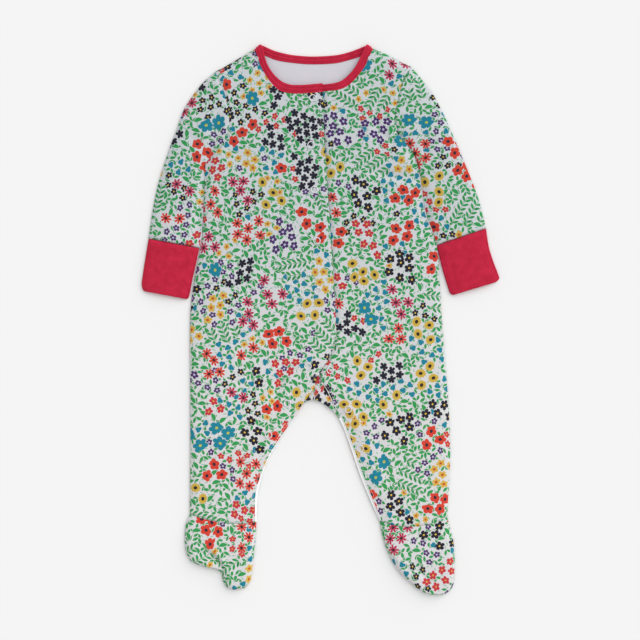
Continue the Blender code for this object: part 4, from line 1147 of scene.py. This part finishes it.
def makeSleeves():
    for side, sign in (("Right", 1), ("Left", -1)):
        top = chain([smoothLine(outline["armhole" + side])], [sleeve["columns"]], lay["roll"], lay["roll"])
        inner = smoothLine(outline["sleeveIn" + side])
        share = distances(top) / distances(top)[-1]
        fade = sleeve["underarmFade"] + (sleeve["armholeFade"] - sleeve["underarmFade"]) * (1 - share) ** 2
        grid = tubeGrid(outline["sleeveOut" + side], inner, sleeve["rows"], sleeve["columns"], top, fade)
        grid = grid[:, ::sign]
        x, y = grid[..., 0], grid[..., 1]
        left, right, up, down = edgeGaps(grid)
        z = upperHeight(x, y) - seamDitch(up, y, 1.9)
        inside, outside = (right, left) if sign == 1 else (left, right)
        share = lay["low"] if sign == 1 else lay["high"]
        z = z - (sagNear(outside) + share * sagNear(inside)) * ease(up / sleeve["sagFade"])
        high, away, width = sleeve["cuffRidge"]
        z = z + high * np.exp(-(((down - away) / width) ** 2))
        deep, width = sleeve["cuffDitch"]
        z = z - deep * np.exp(-((down / width) ** 2))
        high, size, seed, reach = sleeve["cuffPucker"]
        z = z - high * undulation(x, y, size, seed) * np.exp(-down / reach)
        mesh = bmesh.new()
        addTube(mesh, grid, z, sleeve["print" + side])
        name, node = side.lower() + "_sleeve", "sleeve_" + side.lower()
        piece = finishPiece(mesh, name, [printed, reverse], [node], lay["cloth"])
        width, length, area = sleeve["flat"]


def makeCuffs():
    for side, sign in (("Right", 1), ("Left", -1)):
        grid = tubeGrid(outline["cuffOut" + side], outline["cuffIn" + side], cuff["rows"], cuff["columns"],
                        None, 1.0, cuff["edgeRound"])[:, ::sign]
        x, y = grid[..., 0], grid[..., 1]
        left, right, up, down = edgeGaps(grid)
        (high, size, seed), (highAll, sizeAll, seedAll) = cuff["uneven"]
        z = lay["top"] - cuff["lower"] - high * undulation(left, 0 * x, size, seed)
        z = z - highAll * undulation(x, y, sizeAll, seedAll)
        flatter, reach = cuff["flatter"]
        z = z - flatter * ease(up / reach) - cuff["sag"] * (sagNear(left) + sagNear(right))
        deep, width = cuff["seamDitch"]
        high, size, seed, reach = cuff["pucker"]
        z = z - deep * np.exp(-((up / width) ** 2))
        z = z - high * undulation(left, 0 * x, size, seed) * np.exp(-up / reach)
        z = z - creaseDepth(x, y, cuffCreases)
        bottomTurn = turns(cuff["rows"], 0, cuff["edgeRound"])[1]
        z = z - cuff["edgeDrop"] * (1 - np.sin(bottomTurn))[:, None]
        mesh = bmesh.new()
        addTube(mesh, grid, z, (10.0 * sign, 0.0, 0.0))
        name, node = side.lower() + "_cuff", "cuff_" + side.lower()
        piece = finishPiece(mesh, name, [rib], [node], cuff["wall"])
        width, length, area = cuff["flat"]


makeSleeves()
makeCuffs()
print("sleeves and cuffs made")


# Feet

foot = {
    "rows": (56, 26),        # of the heel and of the toes
    "columns": 60,
    "top": 6.9,
    "rise": (-225.0, 30.0),  # where a foot starts to rise to that, and over what length
    "sagFade": 40.0,
    "flat": (0.078, 0.085, 0.0049),
    "printRight": (8.0, 1800.0, 120.0),
    "printLeft": (-6.0, 2100.0, 260.0),
}


def makeFeet():
    roll = lay["roll"]
    low, high = lay["seam"] - lay["seamGap"] / 2, lay["seam"] + lay["seamGap"] / 2
    for side, sign in (("Right", 1), ("Left", -1)):
        out = chain([outline["heelOut" + side], outline["toeOut" + side]], foot["rows"], 0, roll)
        inner = chain([outline["heelIn" + side], outline["toeIn" + side]], foot["rows"], 0, roll)
        top = bowed(planOf(out[:2], inner[:2], foot["columns"], roll, roll)[0], body["bow" + side])
        grid = planOf(out, inner, foot["columns"], roll, roll, top, ankleFade)[:, ::sign]
        leftTurn, rightTurn = turns(foot["columns"], roll, roll)
        bottomTurn = turns(sum(foot["rows"]), 0, roll)[1]
        lift = (rounded(leftTurn, 1.0) * rounded(rightTurn, 1.0))[None, :] * rounded(bottomTurn, 1.0)[:, None]
        x, y = grid[..., 0], grid[..., 1]
        left, right, up, down = edgeGaps(grid)
        start, fade = foot["rise"]
        rise = (foot["top"] - lay["top"]) * ease((start - y) / fade)
        z = upperHeight(x, y) + rise - body["seamDitches"][2] * seamDitch(up, x, 1.4)
        z = z - (sagNear(left) + sagNear(right)) * (1 - ease(up / foot["sagFade"]))
        above = asPoints(grid, high + (z - high) * lift)
        below = asPoints(grid, low * (1 - lift))[:, ::-1]
        for part, points in (("upper", above), ("sole", below)):
            mesh = bmesh.new()
            addSheet(mesh, points, placed(clothMap(points), *foot["print" + side]))
            name, node = f"{side.lower()}_foot_{part}", f"foot_{part}_{side.lower()}"
            piece = finishPiece(mesh, name, [printed, reverse], [node], lay["cloth"])


makeFeet()
print("feet made")


# Neck binding and popper band

binding = {
    "thick": 2.0,
    "proud": 0.35,         # above the panels that it is sewn over
    "grooves": (0.24, 0.6),  # where its two rows of stitches run, as shares of its width from the sewn edge
    "grooveDepth": 0.9,
    "grooveWidth": 0.7,
    "wide": 8.7,
    "over": 1.6,           # how far it lies over the front panels' edges
    "overFade": 20.0,
    "overBack": 0.8,
    "overLap": 0.4,        # and over the left one's, next to the lap
    "lapFade": (6.0, 26.0),    # where it grows from that to the whole, and over what length
    "lapStep": (0.4, 1.0, 13.0),  # the left end's gap below the right one, and where and how it climbs out
    "flare": 0.3,          # of the lap's folded end
    "flareLength": 5.0,
    "bulge": 0.7,          # of the shoulder folds
    "rings": 66,           # along each half of the front
    "backRings": 80,
    "foldRings": 13,
    "around": 56,
    "full": (0.55, 0.5),   # of its edges: across and through; smaller is squarer
    "flat": (0.0105, 0.285, 0.00299),
}

band = {
    "thick": 1.4,
    "middle": 1.85,
    "lift": 1.3,            # where it bunches at the crotch
    "liftReach": 22.0,
    "width": 20.0,
    "extra": 9.0,           # there it is wider
    "extraReach": 30.0,
    # height, length of one radian and phase: at the crotch, and all along
    "waves": ((0.35, 3.1, 1.0), (0.12, 5.0, 0.0)),
    "printed": 34.0,        # how far from the crotch its printed side shows
    "print": (90.0, 2500.0, 40.0),
    "rings": 240,
    "around": 44,
    "edgeSteps": 8,
    "flat": (0.02, 0.39, 0.0077),
}


def bandSection():  # flat faces and half-round edges, as shares of the width and of the thickness
    turn = np.linspace(-np.pi / 2, np.pi / 2, band["edgeSteps"] + 1)
    flat = np.linspace(0, 1, band["around"] // 2 - band["edgeSteps"])[1:-1]
    edge = band["thick"] / band["width"] / 2
    near, far = edge * (1 - np.cos(turn)), 1 - edge * (1 - np.cos(turn))
    level = 0.5 * np.sin(turn)
    over = edge + (1 - 2 * edge) * flat
    across = np.concatenate([near, over, far[::-1], over[::-1], near[:1]])
    return across, np.concatenate([level, 0 * flat + 0.5, level[::-1], 0 * flat - 0.5, level[:1]])


def ringOf(sewn, free, middle, angle, toward, thick, section):
    # A strip's cross-section between its sewn and its free edge. At an angle of 0 it faces the way that
    # toward points, and at a right angle it faces up.
    across, half = section
    way = free - sewn
    look = np.array([toward[0] * math.cos(angle), toward[1] * math.cos(angle), math.sin(angle)])
    flat = sewn + way * across[:, None]
    return np.column_stack([flat, np.full(len(flat), middle)]) + look * (thick * half)[:, None]


def stripMap(rings, section, width):  # cloth coordinates of a strip: across it and along it
    run = distances(rings.mean(axis=1))
    steps = np.hypot(np.diff(section[0]) * width, np.diff(section[1]) * binding["thick"])
    across = np.insert(np.cumsum(steps), 0, 0)
    return np.stack(np.broadcast_arrays(across[None, :], run[:, None]), axis=2)


def closeEnds(mesh):
    holes = bmesh.ops.holes_fill(mesh, edges=mesh.edges[:], sides=binding["around"] + 2)
    for face in holes["faces"]:
        face.smooth = False


def underLapDrop(point):  # how much lower the left end lies, to go under the right one
    edge = np.interp(point[1], lapLine[:, 1], lapLine[:, 0])
    gap, start, climb = binding["lapStep"]
    return (binding["thick"] + gap) * (1 - ease((point[0] - edge - start) / climb))


def bindingSection():  # full edges, and two grooves along each face, where it is stitched
    turn = np.linspace(0, 2 * np.pi, binding["around"] + 1)
    fullAcross, fullThick = binding["full"]
    across = 0.5 - 0.5 * np.sign(np.cos(turn)) * abs(np.cos(turn)) ** fullAcross
    half = 0.5 * np.sign(np.sin(turn)) * abs(np.sin(turn)) ** fullThick
    for share in binding["grooves"]:
        gap = (across - share) * binding["wide"] / binding["grooveWidth"]
        half = half - np.sign(half) * binding["grooveDepth"] / binding["thick"] * np.exp(-(gap**2))
    return across, half


def bindingRings():
    section = bindingSection()
    thick = binding["thick"]
    high = lay["top"] + binding["proud"]
    up, aside = math.pi / 2, np.zeros(2)

    def edges(name, count):
        return (evenPoints(smoothLine(outline[edge + name]), count + 1)[1:] for edge in ("sewn", "free"))

    def widened(sewn, free, over, flare=0.0):
        way = unit(free - sewn)
        return sewn - way * over, free + way * flare

    def frontRight():
        sewn, free = edges("FrontRight", binding["rings"])
        beforeEnd = (sewn[:, :1] - sewn[-1, 0]) / binding["flareLength"]
        flare = binding["flare"] * np.exp(-(beforeEnd**2))
        over = binding["over"] * ease(distances(sewn)[:, None] / binding["overFade"])
        sewn, free = widened(sewn, free, over, flare)
        return [ringOf(a, b, high - thick / 2, up, aside, thick, section) for a, b in zip(sewn, free)]

    def frontLeft():
        sewn, free = edges("FrontLeft", binding["rings"])
        start, fade = binding["lapFade"]
        share = ease((sewn[:, :1] - start) / fade)
        over = binding["overLap"] + (binding["over"] - binding["overLap"]) * share
        over = over * ease(distances(sewn)[:, None] / binding["overFade"])
        wide, free = widened(sewn, free, over)
        middles = [high - thick / 2 - underLapDrop(point) for point in sewn]
        return [ringOf(a, b, m, up, aside, thick, section) for a, b, m in zip(wide, free, middles)]

    def fold(side, away):  # over the shoulder, from the front's face to the back's
        sewn, free = widened(*np.array(outline["neckPoint" + side]), 0.0)
        along = unit(free - sewn)
        out = away * np.array([-along[1], along[0]])
        radius, inset = (high - thick) / 2, lay["top"] / 2
        bulge = binding["bulge"] * 4 * section[0] * (1 - section[0])
        rings = []
        for angle in np.radians(np.linspace(90, -90, binding["foldRings"])):
            move = out * (radius * math.cos(angle) - inset)
            middle = high / 2 + radius * math.sin(angle)
            rings.append(ringOf(sewn + move, free + move, middle, angle, out, thick, section))
            rings[-1][:, :2] += bulge[:, None] * out * math.cos(angle)
        return rings

    sewn, free = edges("Back", binding["backRings"])
    sewn, free = widened(sewn[:-1], free[:-1], binding["overBack"])
    rings = frontRight()[::-1] + fold("Right", 1)
    rings += [ringOf(a, b, thick / 2, -up, aside, thick, section) for a, b in zip(sewn, free)]
    rings += fold("Left", -1)[::-1] + frontLeft()
    return np.array(rings), section


def closedStrip(rings, place):
    mesh = bmesh.new()
    addSheet(mesh, rings, place)
    bmesh.ops.remove_doubles(mesh, verts=mesh.verts, dist=mergeDistance)
    closeEnds(mesh)
    bmesh.ops.recalc_face_normals(mesh, faces=mesh.faces)
    return mesh


def makeBinding():
    rings, section = bindingRings()
    mesh = closedStrip(rings, stripMap(rings, section, binding["wide"]))
    piece = finishPiece(mesh, "neck_rib", [bindingRib], ["neck_binding"])
    return rings


def makeBand():
    line = np.vstack([smoothLine(outline["crotchRight"])[::-1], smoothLine(outline["crotchLeft"])[1:]])
    line = evenPoints(line, band["rings"])
    heading = unit(np.gradient(line, axis=0))
    inward = np.stack([-heading[:, 1], heading[:, 0]], axis=1)
    middle = np.array(outline["crotchRight"][0])
    section = bandSection()
    (high, size, phase), (highAll, sizeAll, phaseAll) = band["waves"]
    rings = []
    for point, way, run in zip(line, inward, distances(line)):
        near = math.exp(-((np.linalg.norm(point - middle) / band["extraReach"]) ** 2))
        hidden = point + way * (band["width"] + band["extra"] * near)
        wave = high * near * math.sin(run / size + phase) + highAll * math.sin(run / sizeAll + phaseAll)
        level = band["middle"] + wave
        rings.append(ringOf(hidden, point, level, math.pi / 2, np.zeros(2), band["thick"], section))
    rings = np.array(rings)
    away = np.linalg.norm(rings[..., :2] - middle, axis=2)
    rings[..., 2] += band["lift"] * np.exp(-((away / band["liftReach"]) ** 2))
    rings[..., 2] -= creaseDepth(rings[..., 0], rings[..., 1], bandCreases)
    mesh = closedStrip(rings, placed(stripMap(rings, section, band["width"]), *band["print"]))
    for face in mesh.faces:
        away = (face.calc_center_median().xy / mm - Vector(middle)).length
        face.material_index = int(away > band["printed"])
    piece = finishPiece(mesh, "leg_popper_band", [printed, tape], ["leg_band"])


neckRings = makeBinding()
makeBand()
print("binding and band made")


# Poppers and stitches

ring = {
    "radius": 3.5,      # to the middle of the ring
    "wide": 1.05,       # of its cross-section
    "high": 1.2,
    "above": 0.45,      # of its middle, over the cloth
    "top": 0.8,         # how domed it is above: smaller is flatter
    "under": 0.6,       # its lower half's height, as a share of the upper one's
    "corners": 16,
    "steps": 48,
    "feel": 3.0,        # how far round it the cloth's slope is measured
}


def makePoppers():
    heights = {"right": rightHeight, "left": leftHeight}
    reach = ring["feel"]
    for number, (x, y, front) in enumerate(poppers, 1):
        spots = np.array([(x, y), (x + reach, y), (x - reach, y), (x, y + reach), (x, y - reach)])
        z = heights[front](spots[:, 0], spots[:, 1])
        slope = Vector(((z[2] - z[1]) / (2 * reach), (z[4] - z[3]) / (2 * reach), 1.0)).normalized()
        mesh = bmesh.new()
        section = bmesh.ops.create_circle(mesh, segments=ring["corners"], radius=1.0)["verts"]
        for vertex in section:
            a, b = vertex.co.x, vertex.co.y
            b = b ** ring["top"] if b > 0 else b * ring["under"]
            vertex.co = Vector((ring["radius"] + a * ring["wide"] / 2, 0, b * ring["high"] / 2)) * mm
        bmesh.ops.spin(mesh, geom=mesh.verts[:] + mesh.edges[:], cent=(0, 0, 0), axis=(0, 0, 1),
                       angle=2 * math.pi, steps=ring["steps"], use_merge=True)
        bmesh.ops.recalc_face_normals(mesh, faces=mesh.faces)
        place = Matrix.Translation(Vector((x, y, float(z[0]) + ring["above"])) * mm)
        tilt = Vector((0, 0, 1)).rotation_difference(slope).to_matrix().to_4x4()
        bmesh.ops.transform(mesh, matrix=place @ tilt, verts=mesh.verts)
        node = f"popper_{number:02d}"
        finishPiece(mesh, f"ring_popper_{number:02d}", [enamel], [node])


makePoppers()
print("poppers made")


stitch = {
    "length": 2.3,
    "gap": 0.6,
    "feel": 0.4,         # how far before and after its middle the row's direction is measured
    "radius": 0.2,
    "fine": 0.14,        # radius of the white ones
    "inside": 3.0,       # from the lap's edge and the leg edges
    "above": 0.03,
    "lowest": -205,      # where the white rows end
    "tack": (-2.6, -62.4),      # the bar tack at the crotch: its middle
    "tackSize": (2.4, 2.6),
    "tackCount": 8,
    "tackRadius": 0.24,
    "tackAlong": (1.0, 0.12, -0.15),  # the way that its stitches run
    "tackFoot": 1.0,     # how far beside its middle the cloth's height is taken
    "tackDeep": 0.15,
}


def addStitch(mesh, middle, along, length, radius):
    made = bmesh.ops.create_uvsphere(mesh, u_segments=6, v_segments=4, radius=1.0)["verts"]
    bmesh.ops.scale(mesh, verts=made, vec=Vector((radius, radius, length / 2)) * mm)
    turn = Vector((0, 0, 1)).rotation_difference(Vector(along)).to_matrix().to_4x4()
    bmesh.ops.transform(mesh, verts=made, matrix=Matrix.Translation(Vector(middle) * mm) @ turn)


def addRow(mesh, line, radius):  # stitches along a line of (x, y, z) points
    step = stitch["length"] + stitch["gap"]
    middles = np.arange(step / 2, distances(line)[-1] - step / 2, step)
    feel = stitch["feel"]
    ahead = pointsAt(line, middles + feel) - pointsAt(line, middles - feel)
    for middle, along in zip(pointsAt(line, middles), ahead):
        addStitch(mesh, middle, along, stitch["length"], radius)


def redStitches():
    mesh = bmesh.new()
    across = bindingSection()[0]
    half = binding["around"] // 2
    for share in binding["grooves"]:
        outer = neckRings[:, np.argmin(abs(across[:half] - share))]
        inner = neckRings[:, half + np.argmin(abs(across[half:] - share))]
        front = outer[:, 2] > lay["seam"]
        middle = len(outer) // 2
        for line in (outer[:middle][front[:middle]], inner[~front], outer[middle:][front[middle:]]):
            addRow(mesh, line, stitch["radius"])
    x, y = stitch["tack"]
    width, length = stitch["tackSize"]
    level = float(rightHeight(np.array(x - stitch["tackFoot"]), np.array(y))) - stitch["tackDeep"]
    for share in np.linspace(-0.5, 0.5, stitch["tackCount"]):
        middle = (x, y + length * share, level)
        addStitch(mesh, middle, stitch["tackAlong"], width, stitch["tackRadius"])
    finishPiece(mesh, "raspberry_stitches", [redThread], [], merge=False)


def whiteStitches():
    mesh = bmesh.new()
    for line, aside, height in ((lapLine[::-1], -stitch["inside"], rightHeight),
                                (smoothLine(outline["frontLegLeft"]), stitch["inside"], leftHeight)):
        line = line + (aside, 0)
        line = line[line[:, 1] > stitch["lowest"]]
        level = height(line[:, 0], line[:, 1]) + stitch["above"]
        addRow(mesh, np.column_stack([line, level]), stitch["fine"])
    finishPiece(mesh, "white_stitches", [whiteThread], [], merge=False)


redStitches()
whiteStitches()
print("stitches made")


# Stage, light and camera

studio = {
    "floor": "#EDEDED",
    "floorSize": 9.0,      # half its width, in metres
    "floorDrop": 0.0003,
    "room": "#F8F8F8",
    "lens": 85.0,
    "sensor": 36.0,
    "view": 697.6,         # height of the view on the floor, in mm
    "centre": (0.0, -0.27),
    "sun": 1.91,
    "sunSoftness": 66.0,   # degrees
    "sunFrom": (0.66, 0.57, 0.6),
    "sky": 0.78,
}


def makeStage():
    mesh = bmesh.new()
    bmesh.ops.create_grid(mesh, x_segments=8, y_segments=8, size=studio["floorSize"])
    bmesh.ops.translate(mesh, verts=mesh.verts, vec=(0, 0, -studio["floorDrop"]))
    data = bpy.data.meshes.new("floor")
    mesh.to_mesh(data)
    mesh.free()
    floor = bpy.data.objects.new("floor", data)
    bpy.context.scene.collection.objects.link(floor)
    paper = {"Base Color": linear(studio["floor"]), "Roughness": 0.95, "Specular IOR Level": 0.1}
    data.materials.append(newMaterial("matt white paper", paper)[0])


def makeLight():
    sun = bpy.data.lights.new("soft key", "SUN")
    sun.energy = studio["sun"]
    sun.angle = math.radians(studio["sunSoftness"])
    thing = bpy.data.objects.new("soft key", sun)
    bpy.context.scene.collection.objects.link(thing)
    thing.rotation_mode = "QUATERNION"
    thing.rotation_quaternion = Vector(studio["sunFrom"]).to_track_quat("Z", "Y")
    world = bpy.data.worlds.new("pale room")
    world.use_nodes = True
    background = world.node_tree.nodes["Background"]
    background.inputs["Color"].default_value = linear(studio["room"])
    background.inputs["Strength"].default_value = studio["sky"]
    bpy.context.scene.world = world


def makeCamera():
    camera = bpy.data.cameras.new("camera")
    camera.lens = studio["lens"]
    camera.sensor_width = studio["sensor"]
    x, y = studio["centre"]
    away = studio["view"] * studio["lens"] / studio["sensor"]
    thing = bpy.data.objects.new("camera", camera)
    bpy.context.scene.collection.objects.link(thing)
    thing.location = Vector((x, y, away)) * mm
    bpy.context.scene.camera = thing


makeStage()
makeLight()
makeCamera()
bpy.context.scene.view_settings.view_transform = "Standard"
print("stage made")
